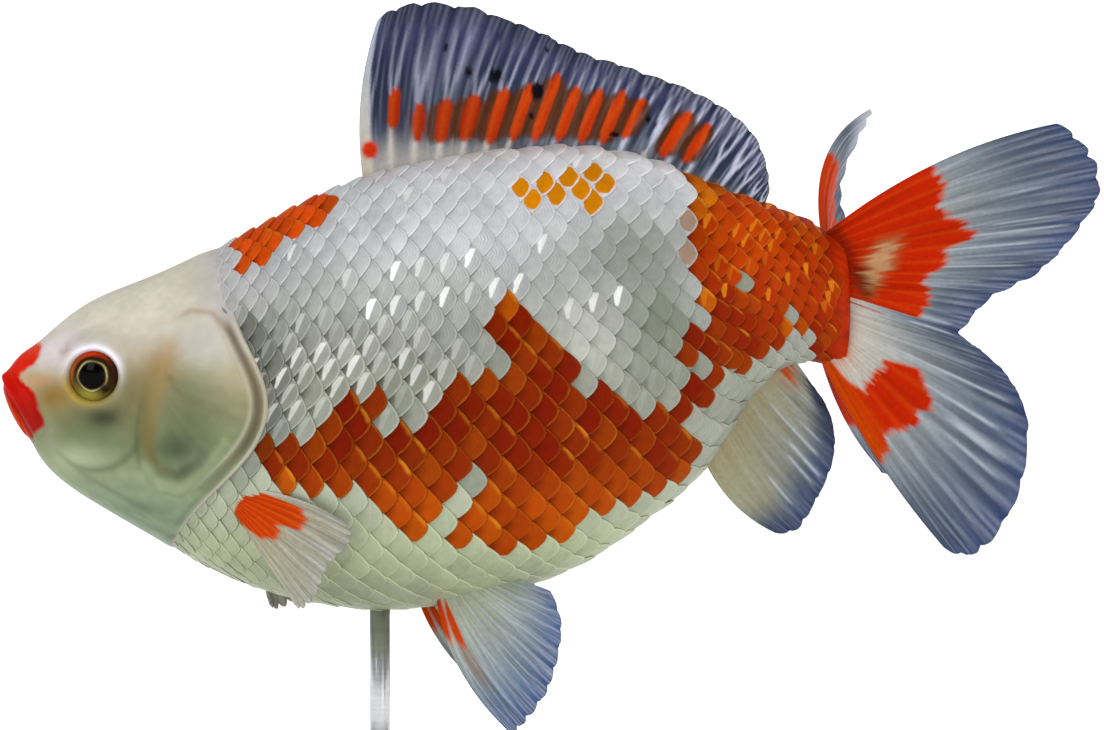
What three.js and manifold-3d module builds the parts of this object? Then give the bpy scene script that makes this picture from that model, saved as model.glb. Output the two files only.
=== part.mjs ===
// A fancy double-tailed goldfish, life size, as a still museum model on a plain rod stand.
// Millimetres, +Z up. The head points along -X, the fish's left side faces -Y, and the origin is
// the middle of the stand's underside. Fish pieces are drawn in the fish's own frame, whose z = 0
// is the long axis of the body, and one group lifts them onto the stand.
import * as THREE from 'three';
import { mergeVertices } from 'three/addons/utils/BufferGeometryUtils.js';
import Module from 'manifold-3d';

const wasm = await Module();
wasm.setup();

// ---- Driving dimensions ----
const AXIS_HEIGHT = 68; // long axis of the body above the floor
const GAP = 0.3; // clearance between neighbouring pieces
const NOSE_DOME = 1.0; // how far the closed mouth bulges past its rim
const TAIL_DOME = 1.2; // the same behind the last vertebra, between the tail fins
const CAP_SHARE = 0.045; // share of the length grid spent on each domed end
const BACK_POWER = 1.08; // above 1 the back narrows to a ridge
const BELLY_POWER = 0.86; // below 1 the belly is full
const SAG = 0.14; // how far the widest line lies below mid height, as a share of half height
const SWAY_START = 26.6; // from here back the body curves to its right (+Y)
const SWAY = 0.00465; // sideways shift for each square millimetre behind SWAY_START
const FIN_ROOT = 1.5; // fin thickness where it leaves the body
const FIN_EDGE = 0.6; // fin thickness at its free edge
const COVER_WALL = 1.4; // thickness of the gill cover plate
const COVER_LIFT = 0.35; // how far the plate stands proud of the head
const EYE = { x: -40.7, y: 10.7, z: 3.9, radius: 4.1, lookForward: 0.22 };
const LID = { radius: 3.95, wire: 0.5 };
const BASE = { halfLength: 52, halfWidth: 31, height: 8, bevel: 1.5 };
const ROD = { radius: 1.5, foot: 3, intoBody: 4.5 };
const COLLAR = { radius: 4.2, height: 3 };

// Cross-sections from the lips to the tail root: back x and z, belly x and z, half width.
const SECTIONS = [
  [-55.7, 4.0, -51.6, -5.2, 4.2], // lips
  [-50.6, 8.8, -49.7, -8.7, 7.6], // snout
  [-42.6, 15.0, -41.4, -15.2, 12.8], // eyes
  [-34.0, 18.6, -32.6, -20.3, 16.2], // cheeks
  [-24.4, 23.1, -24.4, -24.9, 18.4], // gill covers
  [-11.8, 29.8, -11.8, -29.3, 21.2], // hump
  [0.7, 34.6, 1.5, -30.8, 22.0], // deepest and widest
  [14.8, 37.3, 14.8, -28.9, 20.8], // pelvic fins
  [29.6, 38.3, 29.6, -24.3, 16.8], // vent
  [41.4, 36.1, 40.7, -16.9, 12.6],
  [50.3, 32.4, 49.7, -8.3, 9.6], // anal fin
  [57.0, 30.0, 56.5, 1.9, 7.4],
  [62.9, 27.8, 62.6, 5.6, 6.2], // tail stem
  [69.6, 24.7, 69.6, 4.7, 5.2], // tail root
];
// Rear edge of the head down the flank, as z then x; the gill cover ends on it.
const GILL_LINE = [
  [34, -26], [19.5, -22.5], [11.3, -19.9], [1.4, -15.4],
  [-7.5, -18], [-15.2, -25.5], [-21.9, -30.4], [-36, -32],
];
// Front edge of the gill cover, x then z, from its top corner to its lower one.
const COVER_FRONT = [[-25, 13], [-30, 10], [-32.4, 1.8], [-32.4, -5.4], [-30.2, -11.6], [-27.4, -16.2]];

// Fins are fans of key rays. Each key ray is its root x, y, z and its tip x, y, z, the leading
// ray first. Roots lie a little inside the body, which is then cut away from the fin.
const DORSAL_RAYS = [
  [-2.2, 0, 31, -0.2, 0, 57], [3, 0, 32, 5.6, 0, 59.5], [8.9, 0, 33.3, 14.5, 0, 58.4],
  [14.8, 0, 34.3, 21.9, 0, 55.8], [20.7, 0, 34.9, 27.5, 0, 53.3], [26.6, 0, 35.3, 32.6, 0, 51.1],
  [32.6, 0, 35, 38.8, 0, 49.1], [38.5, 0, 34, 45.9, 0, 46.5], [44.4, 0, 32.1, 51.5, 0, 43.5],
  [48.8, 0, 30.2, 55.8, 0, 39.7], [52.5, 0, 28.7, 57.6, 0, 34.6], [56.4, 0, 27.6, 57.9, 0, 31.2],
];
const ANAL_RAYS = [
  [47.2, 0, -6.6, 59.2, 0, -19.8], [50, 0, -2, 62.6, 0, -18.9], [53, 0, 1.5, 65.7, 0, -14.2],
  [55.6, 0, 4.6, 67.9, 0, -7.8], [57.8, 0, 6.8, 67.1, 0, -1.7], [60.4, 0, 8, 64.5, 0, 2.4],
];
// Paired fins are drawn on the left side, with y positive outwards.
const PELVIC_RAYS = [
  [8.4, 6.5, -27.5, 20, 15.5, -48], [9.8, 6.8, -27.2, 21.9, 16, -45.9], [11.2, 7, -26.9, 24.6, 16, -41.9],
  [12.8, 7.2, -26.5, 26.3, 15, -37.4], [14.8, 7.2, -26, 26.9, 13, -32.3], [18.6, 7, -25.2, 25.5, 10.5, -27.5],
];
const PECTORAL_RAYS = [
  [-21, 15.4, -12.2, -4, 22, -16.9], [-21, 15.3, -12.7, -3, 24, -19.6], [-21, 15.2, -13.1, -5.7, 25, -22.7],
  [-21, 15, -13.5, -7.6, 24.5, -26.6], [-21, 14.8, -13.9, -9.8, 23, -29.2],
  [-21, 14.6, -14.3, -11.2, 21.5, -28.4],
];
// The tail fins hold true places, because the tail root has already swung to the fish's right.
const TAIL_LEFT_UPPER_RAYS = [
  [66.6, 6.6, 25.4, 101.7, 3.5, 41.6], [67, 6.8, 24, 106, 3, 37.3], [67.2, 7, 22.6, 107, 2.5, 31],
  [67.2, 7.1, 21, 103.4, 2.5, 25], [67.2, 7.1, 19.4, 98, 3.5, 19.2], [67.2, 7.1, 18, 91.4, 4.5, 15.6],
  [67.2, 7.1, 16.5, 86.9, 6.5, 10.3],
];
const TAIL_LEFT_LOWER_RAYS = [
  [64.6, 5.8, 8.4, 84.4, 3.5, -22.4], [66, 6.4, 9.6, 89.4, 3, -22.6], [67, 6.8, 10.8, 94.6, 2.5, -14.4],
  [67.2, 7, 12.2, 96.3, 2.5, -2.7], [67.2, 7.1, 13.9, 92.6, 4, 4.9], [67.2, 7.1, 16, 87, 6.3, 9.7],
];
const TAIL_RIGHT_UPPER_RAYS = [
  [66.4, 8.6, 24.2, 75.9, 34, 45.6], [66.6, 8.8, 23.4, 74.4, 38, 42.6], [66.8, 9, 22.4, 71.6, 43, 35.6],
  [66.8, 9.1, 21.2, 71.8, 45, 29.6], [67, 9.2, 19.8, 73.4, 43, 23.6], [67, 9.2, 18.4, 74.6, 39, 19.4],
  [67, 9.2, 16.8, 74.4, 33, 15.4],
];
const TAIL_RIGHT_LOWER_RAYS = [
  [65.4, 8.2, 8.6, 77.6, 38, -11.4], [66.2, 8.6, 9.8, 79.4, 41, -11.6], [66.8, 9, 11, 80.6, 44, -6],
  [67, 9.2, 12.4, 79, 44, 1.6], [67, 9.2, 13.8, 76.4, 39, 8], [67, 9.2, 15.4, 74.6, 33, 13.6],
];

// ---- Curves ----

// Natural cubic spline through values at rising knots.
function spline(knots, values) {
  const last = knots.length - 1;
  const bend = new Array(last + 1).fill(0);
  const upper = new Array(last + 1).fill(0);
  for (let i = 1; i < last; i += 1) {
    const before = knots[i] - knots[i - 1];
    const after = knots[i + 1] - knots[i];
    const turn = (values[i + 1] - values[i]) / after - (values[i] - values[i - 1]) / before;
    const pivot = 2 * (before + after) - before * upper[i - 1];
    upper[i] = after / pivot;
    bend[i] = (6 * turn - before * bend[i - 1]) / pivot;
  }
  for (let i = last - 1; i > 0; i -= 1) bend[i] -= upper[i] * bend[i + 1];
  return (at) => {
    let i = 0;
    while (i < last - 1 && at > knots[i + 1]) i += 1;
    const span = knots[i + 1] - knots[i];
    const right = (at - knots[i]) / span;
    const left = 1 - right;
    const curve = (left ** 3 - left) * bend[i] + (right ** 3 - right) * bend[i + 1];
    return left * values[i] + right * values[i + 1] + (curve * span * span) / 6;
  };
}

// One spline for each column of a table, with the rows at the given knots.
function columns(knots, rows) {
  return rows[0].map((_, column) => spline(knots, rows.map((row) => row[column])));
}

const stations = SECTIONS.map((row) => (row[0] + row[2]) / 2);
const stationLow = stations[0];
const stationSpan = stations.at(-1) - stationLow;
const section = columns(stations, SECTIONS);
const gillHeights = GILL_LINE.map((row) => row[0]).reverse();
const gillLine = spline(gillHeights, GILL_LINE.map((row) => row[1]).reverse());

const sway = (x) => SWAY * Math.max(0, x - SWAY_START) ** 2;

// ---- Solids ----

// Outward-facing manifold of a closed geometry.
function solid(geometry) {
  const bare = geometry.clone();
  for (const name of Object.keys(bare.attributes)) {
    if (name !== 'position') bare.deleteAttribute(name);
  }
  const merged = mergeVertices(bare, 1e-4);
  const vertProperties = Float32Array.from(merged.attributes.position.array);
  const corners = Array.from(merged.index.array);
  const triangles = [];
  let volume = 0;
  const corner = [new THREE.Vector3(), new THREE.Vector3(), new THREE.Vector3()];
  for (let i = 0; i < corners.length; i += 3) {
    const [a, b, c] = corners.slice(i, i + 3);
    if (a === b || b === c || a === c) continue;
    triangles.push(a, b, c);
    [a, b, c].forEach((index, k) => corner[k].fromArray(vertProperties, index * 3));
    volume += corner[0].dot(corner[1].clone().cross(corner[2]));
  }
  if (volume < 0) triangles.reverse();
  return new wasm.Manifold(new wasm.Mesh({
    numProp: 3, vertProperties, triVerts: Uint32Array.from(triangles),
  }));
}

function mesh(name, shape, colour, roughness = 0.4, metalness = 0) {
  const cut = shape.getMesh();
  const geometry = new THREE.BufferGeometry();
  geometry.setAttribute('position', new THREE.BufferAttribute(Float32Array.from(cut.vertProperties), 3));
  geometry.setIndex(new THREE.BufferAttribute(Uint32Array.from(cut.triVerts), 1));
  geometry.computeVertexNormals();
  const material = new THREE.MeshStandardMaterial({ color: colour, roughness, metalness });
  const piece = new THREE.Mesh(geometry, material);
  piece.name = name;
  return piece;
}

// Point of the body's surface: along runs 0 to 1 from mouth to tail root, round is the angle
// from the back line, and grow moves the surface outwards.
function bodyPoint(along, round, grow) {
  const frontCap = Math.min(1, along / CAP_SHARE);
  const rearCap = Math.min(1, (1 - along) / CAP_SHARE);
  const run = THREE.MathUtils.clamp((along - CAP_SHARE) / (1 - 2 * CAP_SHARE), 0, 1);
  const [backX, backZ, bellyX, bellyZ, half] = section.map((f) => f(stationLow + run * stationSpan));
  const middle = new THREE.Vector3((backX + bellyX) / 2, 0, (backZ + bellyZ) / 2);
  const up = new THREE.Vector3((backX - bellyX) / 2, 0, (backZ - bellyZ) / 2);
  const forward = new THREE.Vector3(-up.z, 0, up.x).normalize();
  up.setLength(up.length() + grow);
  const close = Math.sin((Math.min(frontCap, rearCap) * Math.PI) / 2);
  const sine = Math.sin(round);
  const power = Math.cos(round) > 0 ? BACK_POWER : BELLY_POWER;
  const point = middle.clone();
  point.addScaledVector(up, close * (Math.cos(round) - SAG * sine * sine));
  point.y = close * (half + grow) * Math.sign(sine) * Math.abs(sine) ** power;
  point.addScaledVector(forward, (NOSE_DOME + grow) * Math.cos((frontCap * Math.PI) / 2));
  point.addScaledVector(forward, -(TAIL_DOME + grow) * Math.cos((rearCap * Math.PI) / 2));
  point.y += sway(point.x);
  return point;
}

// The whole body as one closed surface, wrapped on a sphere's grid.
function body(grow, around = 26, lengthwise = 34) {
  const geometry = new THREE.SphereGeometry(1, around, lengthwise);
  const { position, uv } = geometry.attributes;
  for (let i = 0; i < position.count; i += 1) {
    const point = bodyPoint(1 - uv.getY(i), uv.getX(i) * 2 * Math.PI, grow);
    position.setXYZ(i, point.x, point.y, point.z);
  }
  return solid(geometry);
}

// A prism of an outline in the x-z plane, from one y to another.
function prism(points, fromY, toY) {
  const outline = new THREE.Shape(points.map(([x, z]) => new THREE.Vector2(x, z)));
  const geometry = new THREE.ExtrudeGeometry(outline, { depth: toY - fromY, bevelEnabled: false, steps: 1 });
  geometry.rotateX(Math.PI / 2);
  geometry.translate(0, toY, 0);
  return solid(geometry);
}

// A fin's middle surface: across runs 0 to 1 from the leading ray, out from root to tip.
function finSheet({ rays, bow = [0, 0, 0], pleats = 0, pleatDepth = 0, cup = 0 }) {
  const places = rays.map((_, i) => i / (rays.length - 1));
  const ray = columns(places, rays);
  return (across, out) => {
    const [rx, ry, rz, tx, ty, tz] = ray.map((f) => f(across));
    const root = new THREE.Vector3(rx, ry, rz);
    const point = root.lerp(new THREE.Vector3(tx, ty, tz), out);
    const arch = 4 * out * (1 - out);
    point.addScaledVector(new THREE.Vector3(...bow), arch * (1 - across) ** 3);
    point.y += cup * arch + pleatDepth * out * Math.sin(2 * Math.PI * pleats * across);
    return point;
  };
}

// A fin as a thin closed solid that tapers to its free edge.
function fin(shape, raySteps, outSteps, root = FIN_ROOT) {
  const sheet = finSheet(shape);
  const step = 0.004;
  const geometry = new THREE.BoxGeometry(1, 1, 1, outSteps, raySteps, 1);
  const position = geometry.attributes.position;
  for (let i = 0; i < position.count; i += 1) {
    const out = position.getX(i) + 0.5;
    const across = position.getY(i) + 0.5;
    const outwards = sheet(across, out + step).sub(sheet(across, out - step));
    const sideways = sheet(across + step, out).sub(sheet(across - step, out));
    const normal = outwards.cross(sideways).normalize();
    const thickness = root + (FIN_EDGE - root) * out;
    const point = sheet(across, out).addScaledVector(normal, position.getZ(i) * thickness);
    position.setXYZ(i, point.x, point.y, point.z);
  }
  return solid(geometry);
}

// Key rays on the midplane, bent with the body's sway.
const swayed = (rays) => rays.map(([rx, , rz, tx, , tz]) => [rx, sway(rx), rz, tx, sway(tx), tz]);

// Key rays of a paired fin: side is -1 for left and 1 for right, forward moves the whole fin
// ahead, and swing turns its tips forwards about the leading ray's root.
function paired(rays, side, { forward, swing }) {
  const [pivotX, , pivotZ] = rays[0];
  return rays.map(([rx, ry, rz, tx, ty, tz]) => {
    const x = tx - pivotX;
    const z = tz - pivotZ;
    const turnedX = pivotX + x * Math.cos(swing) + z * Math.sin(swing);
    const turnedZ = pivotZ + z * Math.cos(swing) - x * Math.sin(swing);
    return [rx - forward, side * ry, rz, turnedX - forward, side * ty, turnedZ];
  });
}

// ---- Body, parted with thin cuts ----
const whole = body(0);
const grown = body(GAP);
const farAway = 80;

const gillSteps = 14;
const gillPoints = Array.from({ length: gillSteps + 1 }, (_, i) => {
  const z = THREE.MathUtils.lerp(GILL_LINE[0][0], GILL_LINE.at(-1)[0], i / gillSteps);
  return [gillLine(z), z];
});
const headOutline = (shift) => [
  [-farAway, gillPoints[0][1]],
  ...gillPoints.map(([x, z]) => [x + shift, z]),
  [-farAway, gillPoints.at(-1)[1]],
].reverse();

// Gill cover outline: its front curve, then back up the gill line.
const frontPlaces = COVER_FRONT.map((_, i) => i / (COVER_FRONT.length - 1));
const coverFront = columns(frontPlaces, COVER_FRONT);
function coverOutline(grow) {
  const steps = 9;
  const points = [];
  for (let i = 0; i <= steps; i += 1) {
    const [x, z] = coverFront.map((f) => f(i / steps));
    const tilt = 1 - (2 * i) / steps;
    points.push([x - grow * (1 - tilt * tilt * 0.5), z + grow * tilt]);
  }
  const top = points[0][1];
  const bottom = points.at(-1)[1];
  for (let i = 0; i <= steps; i += 1) {
    const z = THREE.MathUtils.lerp(bottom, top, i / steps);
    points.push([gillLine(z) + grow, z]);
  }
  return points;
}

const coverFloor = body(-COVER_WALL - GAP);
const coverInside = body(-COVER_WALL);
const coverOutside = body(COVER_LIFT);
const sideRange = { left: [-farAway, -2], right: [2, farAway] };

let headBlock = whole.intersect(prism(headOutline(0), -farAway, farAway));
const covers = {};
for (const [side, [fromY, toY]] of Object.entries(sideRange)) {
  const recess = prism(coverOutline(GAP), fromY, toY).subtract(coverFloor);
  headBlock = headBlock.subtract(recess);
  covers[side] = coverOutside.intersect(prism(coverOutline(0), fromY, toY)).subtract(coverInside);
}

// Eyes in their sockets, each behind a raised ring of skin.
const eyes = {};
for (const [side, sign] of [['left', -1], ['right', 1]]) {
  const centre = [EYE.x, sign * EYE.y, EYE.z];
  const ball = (radius) => solid(new THREE.SphereGeometry(radius, 14, 10).translate(...centre));
  const reach = Math.sqrt((EYE.radius + GAP) ** 2 - LID.radius ** 2);
  const lid = new THREE.TorusGeometry(LID.radius, LID.wire, 6, 20);
  lid.rotateX(Math.PI / 2);
  lid.translate(0, sign * reach, 0);
  lid.rotateZ(sign * EYE.lookForward);
  lid.translate(...centre);
  headBlock = headBlock.add(solid(lid)).subtract(ball(EYE.radius + GAP));
  eyes[side] = ball(EYE.radius);
}

// Lips: a cut behind the mouth's rim, and the oblique gape between upper and lower lip.
const LIP_CUT = { normal: [0.998, 0, 0.06], place: -50.6 };
const GAPE_CUT = { normal: [0.86, 0, 0.51], place: -45.5 };
const behind = (shape, { normal, place }) => shape.trimByPlane(normal, place + GAP / 2);
const ahead = (shape, { normal, place }) => shape.trimByPlane(normal.map((value) => -value), GAP / 2 - place);
const lips = ahead(headBlock, LIP_CUT);
const head = behind(headBlock, LIP_CUT);
const upperLip = behind(lips, GAPE_CUT);
const lowerLip = ahead(lips, GAPE_CUT);

// Trunk and tail stem, with the rod's socket in the belly.
const stemTurn = 0.27; // the cut is square to the swaying stem
const STEM_CUT = { normal: [Math.cos(stemTurn), Math.sin(stemTurn), 0], place: 56.5 };
const behindGills = whole.subtract(prism(headOutline(GAP), -farAway, farAway));
const bellyAtRod = section[3](0);
const rodTop = bellyAtRod + ROD.intoBody;
const socketRadius = ROD.radius + GAP;
const bore = (low, high) => {
  const geometry = new THREE.CylinderGeometry(socketRadius, socketRadius, high - low, 20);
  return solid(geometry.rotateX(Math.PI / 2).translate(0, 0, (low + high) / 2));
};
const trunk = ahead(behindGills, STEM_CUT).subtract(bore(-farAway, rodTop + GAP));
const tailStem = behind(behindGills, STEM_CUT);

// ---- Fins ----
const trimmed = (shape) => shape.subtract(grown);
const pelvicPose = { left: { forward: 0, swing: 0 }, right: { forward: 3.6, swing: -0.12 } };
const pectoralPose = { left: { forward: 0, swing: 0 }, right: { forward: 0, swing: 0.38 } };
const fins = {
  dorsal_fin: trimmed(fin({ rays: swayed(DORSAL_RAYS), bow: [-1.7, 0, 0.3] }, 22, 5, 1.8)),
  anal_fin: trimmed(fin({ rays: swayed(ANAL_RAYS), bow: [-1.2, 0, -1.4] }, 10, 5)),
};
for (const [side, sign] of [['left', -1], ['right', 1]]) {
  const pelvic = { rays: paired(PELVIC_RAYS, sign, pelvicPose[side]), bow: [-2.2, 0, -0.8] };
  const pectoral = { rays: paired(PECTORAL_RAYS, sign, pectoralPose[side]), bow: [0.6, 0, 1.2] };
  fins[`pelvic_fin_${side}`] = trimmed(fin(pelvic, 9, 5));
  fins[`pectoral_fin_${side}`] = trimmed(fin(pectoral, 9, 4, 1.2));
}
const folds = { pleats: 1.5, pleatDepth: 1.2, cup: -1.5 };
const tailShapes = {
  tail_fin_left_upper: { rays: TAIL_LEFT_UPPER_RAYS, bow: [-0.8, 0, 2.3], ...folds },
  tail_fin_left_lower: { rays: TAIL_LEFT_LOWER_RAYS, bow: [-0.8, 0, -1.2], ...folds },
  tail_fin_right_upper: { rays: TAIL_RIGHT_UPPER_RAYS, bow: [-3.4, 2, 2.4] },
  tail_fin_right_lower: { rays: TAIL_RIGHT_LOWER_RAYS, bow: [-1, 0, -1.5] },
};
for (const [name, shape] of Object.entries(tailShapes)) {
  fins[name] = trimmed(fin(shape, 11, 6));
}

// ---- Stand ----
const plate = new THREE.Shape();
plate.absellipse(0, 0, BASE.halfLength - BASE.bevel, BASE.halfWidth - BASE.bevel, 0, 2 * Math.PI);
const plateGeometry = new THREE.ExtrudeGeometry(plate, {
  depth: BASE.height - BASE.bevel, curveSegments: 28, bevelThickness: BASE.bevel,
  bevelSize: BASE.bevel, bevelSegments: 2, steps: 1,
});
plateGeometry.translate(0, 0, BASE.bevel);
const standBase = solid(plateGeometry)
  .trimByPlane([0, 0, 1], BASE.bevel)
  .translate([0, 0, -BASE.bevel])
  .subtract(bore(ROD.foot - GAP, farAway));
const rodHeight = AXIS_HEIGHT + rodTop - ROD.foot;
const rodGeometry = new THREE.CylinderGeometry(ROD.radius, ROD.radius, rodHeight, 20);
const standRod = solid(rodGeometry.rotateX(Math.PI / 2).translate(0, 0, ROD.foot + rodHeight / 2));
const collarFoot = BASE.height + GAP;
const collarProfile = [
  [socketRadius, 0], [COLLAR.radius, 0], [COLLAR.radius, 0.45 * COLLAR.height],
  [0.6 * COLLAR.radius, COLLAR.height], [socketRadius, COLLAR.height], [socketRadius, 0],
].map(([radius, height]) => new THREE.Vector2(radius, height));
const collarGeometry = new THREE.LatheGeometry(collarProfile, 20).rotateX(Math.PI / 2);
const standCollar = solid(collarGeometry.translate(0, 0, collarFoot));

// ---- The model ----
const CREAM = 0xcfc8b4;
const ORANGE = 0xd9520f;
const SILVER = 0xb9bab4;
const SLATE = 0x8a93a8;
const EYE_DARK = 0x2a2418;
const EBONY = 0x1c1917;
const STEEL = 0xb4b6b8;

const model = new THREE.Group();
const fish = new THREE.Group();
fish.position.z = AXIS_HEIGHT;
fish.add(
  mesh('head', head, CREAM),
  mesh('upper_lip', upperLip, ORANGE),
  mesh('lower_lip', lowerLip, ORANGE),
  mesh('trunk', trunk, SILVER, 0.3),
  mesh('tail_stem', tailStem, ORANGE, 0.3),
);
for (const side of ['left', 'right']) {
  fish.add(mesh(`gill_cover_${side}`, covers[side], CREAM, 0.3));
  fish.add(mesh(`eye_${side}`, eyes[side], EYE_DARK, 0.05));
}
for (const [name, shape] of Object.entries(fins)) fish.add(mesh(name, shape, SLATE, 0.35));
model.add(
  fish,
  mesh('stand_base', standBase, EBONY, 0.35),
  mesh('stand_rod', standRod, STEEL, 0.25, 1),
  mesh('stand_collar', standCollar, STEEL, 0.25, 1),
);

export default model;
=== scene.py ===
"""A fancy goldfish on a plain rod stand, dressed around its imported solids.

Forms are worked out in millimetres in the fish's own frame, the one its solids are drawn in: the
head points along -X, the fish's left side faces -Y, and z = 0 is the long axis of the body, which
lies AXIS_HEIGHT above the floor. Angles round the body start at the back line.
"""
import math

import bpy
import numpy as np
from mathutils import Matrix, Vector


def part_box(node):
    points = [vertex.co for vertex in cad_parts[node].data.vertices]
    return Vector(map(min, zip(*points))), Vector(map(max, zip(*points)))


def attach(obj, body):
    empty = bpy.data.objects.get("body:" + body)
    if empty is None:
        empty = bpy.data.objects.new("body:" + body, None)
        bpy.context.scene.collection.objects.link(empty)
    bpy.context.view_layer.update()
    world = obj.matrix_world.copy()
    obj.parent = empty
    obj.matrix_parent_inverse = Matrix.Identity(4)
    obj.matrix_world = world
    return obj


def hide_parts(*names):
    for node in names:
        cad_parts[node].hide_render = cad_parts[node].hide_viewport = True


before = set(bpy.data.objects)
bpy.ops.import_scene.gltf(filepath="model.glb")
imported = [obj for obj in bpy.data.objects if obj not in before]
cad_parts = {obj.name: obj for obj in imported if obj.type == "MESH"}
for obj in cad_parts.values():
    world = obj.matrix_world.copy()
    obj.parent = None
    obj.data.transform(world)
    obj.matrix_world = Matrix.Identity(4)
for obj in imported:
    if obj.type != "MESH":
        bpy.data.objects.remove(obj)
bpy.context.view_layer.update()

MM = 0.001
SIDES = {"left": -1, "right": 1}

# ---- Driving dimensions, the same as the solids' ----
AXIS_HEIGHT = 68
NOSE_DOME = 1.0
TAIL_DOME = 1.2
CAP_SHARE = 0.045
BACK_POWER = 1.08
BELLY_POWER = 0.86
SAG = 0.14
SWAY_START = 26.6
SWAY = 0.00465
COVER_LIFT = 0.35
EYE = {"x": -40.7, "y": 10.7, "z": 3.9, "radius": 4.1, "look_forward": 0.12}

# Cross-sections from the lips to the tail root: back x and z, belly x and z, half width.
SECTIONS = [
    [-55.7, 4.0, -51.6, -5.2, 4.2],
    [-50.6, 8.8, -49.7, -8.7, 7.6],
    [-42.6, 15.0, -41.4, -15.2, 12.8],
    [-34.0, 18.6, -32.6, -20.3, 16.2],
    [-24.4, 23.1, -24.4, -24.9, 18.4],
    [-11.8, 29.8, -11.8, -29.3, 21.2],
    [0.7, 34.6, 1.5, -30.8, 22.0],
    [14.8, 37.3, 14.8, -28.9, 20.8],
    [29.6, 38.3, 29.6, -24.3, 16.8],
    [41.4, 36.1, 40.7, -16.9, 12.6],
    [50.3, 32.4, 49.7, -8.3, 9.6],
    [57.0, 30.0, 56.5, 1.9, 7.4],
    [62.9, 27.8, 62.6, 5.6, 6.2],
    [69.6, 24.7, 69.6, 4.7, 5.2],
]
# Rear edge of the head down the flank, as z then x.
GILL_LINE = [
    [-36, -32], [-21.9, -30.4], [-15.2, -25.5], [-7.5, -18],
    [1.4, -15.4], [11.3, -19.9], [19.5, -22.5], [34, -26],
]
DORSAL_RAYS = [
    [-2.2, 0, 31, -0.2, 0, 57], [3, 0, 32, 5.6, 0, 59.5], [8.9, 0, 33.3, 14.5, 0, 58.4],
    [14.8, 0, 34.3, 21.9, 0, 55.8], [20.7, 0, 34.9, 27.5, 0, 53.3], [26.6, 0, 35.3, 32.6, 0, 51.1],
    [32.6, 0, 35, 38.8, 0, 49.1], [38.5, 0, 34, 45.9, 0, 46.5], [44.4, 0, 32.1, 51.5, 0, 43.5],
    [48.8, 0, 30.2, 55.8, 0, 39.7], [52.5, 0, 28.7, 57.6, 0, 34.6], [56.4, 0, 27.6, 57.9, 0, 31.2],
]
ANAL_RAYS = [
    [47.2, 0, -6.6, 59.2, 0, -19.8], [50, 0, -2, 62.6, 0, -18.9], [53, 0, 1.5, 65.7, 0, -14.2],
    [55.6, 0, 4.6, 67.9, 0, -7.8], [57.8, 0, 6.8, 67.1, 0, -1.7], [60.4, 0, 8, 64.5, 0, 2.4],
]
PELVIC_RAYS = [
    [8.4, 6.5, -27.5, 20, 15.5, -48], [9.8, 6.8, -27.2, 21.9, 16, -45.9],
    [11.2, 7, -26.9, 24.6, 16, -41.9], [12.8, 7.2, -26.5, 26.3, 15, -37.4],
    [14.8, 7.2, -26, 26.9, 13, -32.3], [18.6, 7, -25.2, 25.5, 10.5, -27.5],
]
PECTORAL_RAYS = [
    [-21, 15.4, -12.2, -4, 22, -16.9], [-21, 15.3, -12.7, -3, 24, -19.6],
    [-21, 15.2, -13.1, -5.7, 25, -22.7], [-21, 15, -13.5, -7.6, 24.5, -26.6],
    [-21, 14.8, -13.9, -9.8, 23, -29.2], [-21, 14.6, -14.3, -11.2, 21.5, -28.4],
]
TAIL_RAYS = {
    "left_upper": [
        [66.6, 6.6, 25.4, 101.7, 3.5, 41.6], [67, 6.8, 24, 106, 3, 37.3],
        [67.2, 7, 22.6, 107, 2.5, 31], [67.2, 7.1, 21, 103.4, 2.5, 25],
        [67.2, 7.1, 19.4, 98, 3.5, 19.2], [67.2, 7.1, 18, 91.4, 4.5, 15.6],
        [67.2, 7.1, 16.5, 86.9, 6.5, 10.3],
    ],
    "left_lower": [
        [64.6, 5.8, 8.4, 84.4, 3.5, -22.4], [66, 6.4, 9.6, 89.4, 3, -22.6],
        [67, 6.8, 10.8, 94.6, 2.5, -14.4], [67.2, 7, 12.2, 96.3, 2.5, -2.7],
        [67.2, 7.1, 13.9, 92.6, 4, 4.9], [67.2, 7.1, 16, 87, 6.3, 9.7],
    ],
    "right_upper": [
        [66.4, 8.6, 24.2, 75.9, 34, 45.6], [66.6, 8.8, 23.4, 74.4, 38, 42.6],
        [66.8, 9, 22.4, 71.6, 43, 35.6], [66.8, 9.1, 21.2, 71.8, 45, 29.6],
        [67, 9.2, 19.8, 73.4, 43, 23.6], [67, 9.2, 18.4, 74.6, 39, 19.4],
        [67, 9.2, 16.8, 74.4, 33, 15.4],
    ],
    "right_lower": [
        [65.4, 8.2, 8.6, 77.6, 38, -11.4], [66.2, 8.6, 9.8, 79.4, 41, -11.6],
        [66.8, 9, 11, 80.6, 44, -6], [67, 9.2, 12.4, 79, 44, 1.6],
        [67, 9.2, 13.8, 76.4, 39, 8], [67, 9.2, 15.4, 74.6, 33, 13.6],
    ],
}


# ---- Curves, noise and masks ----

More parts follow.
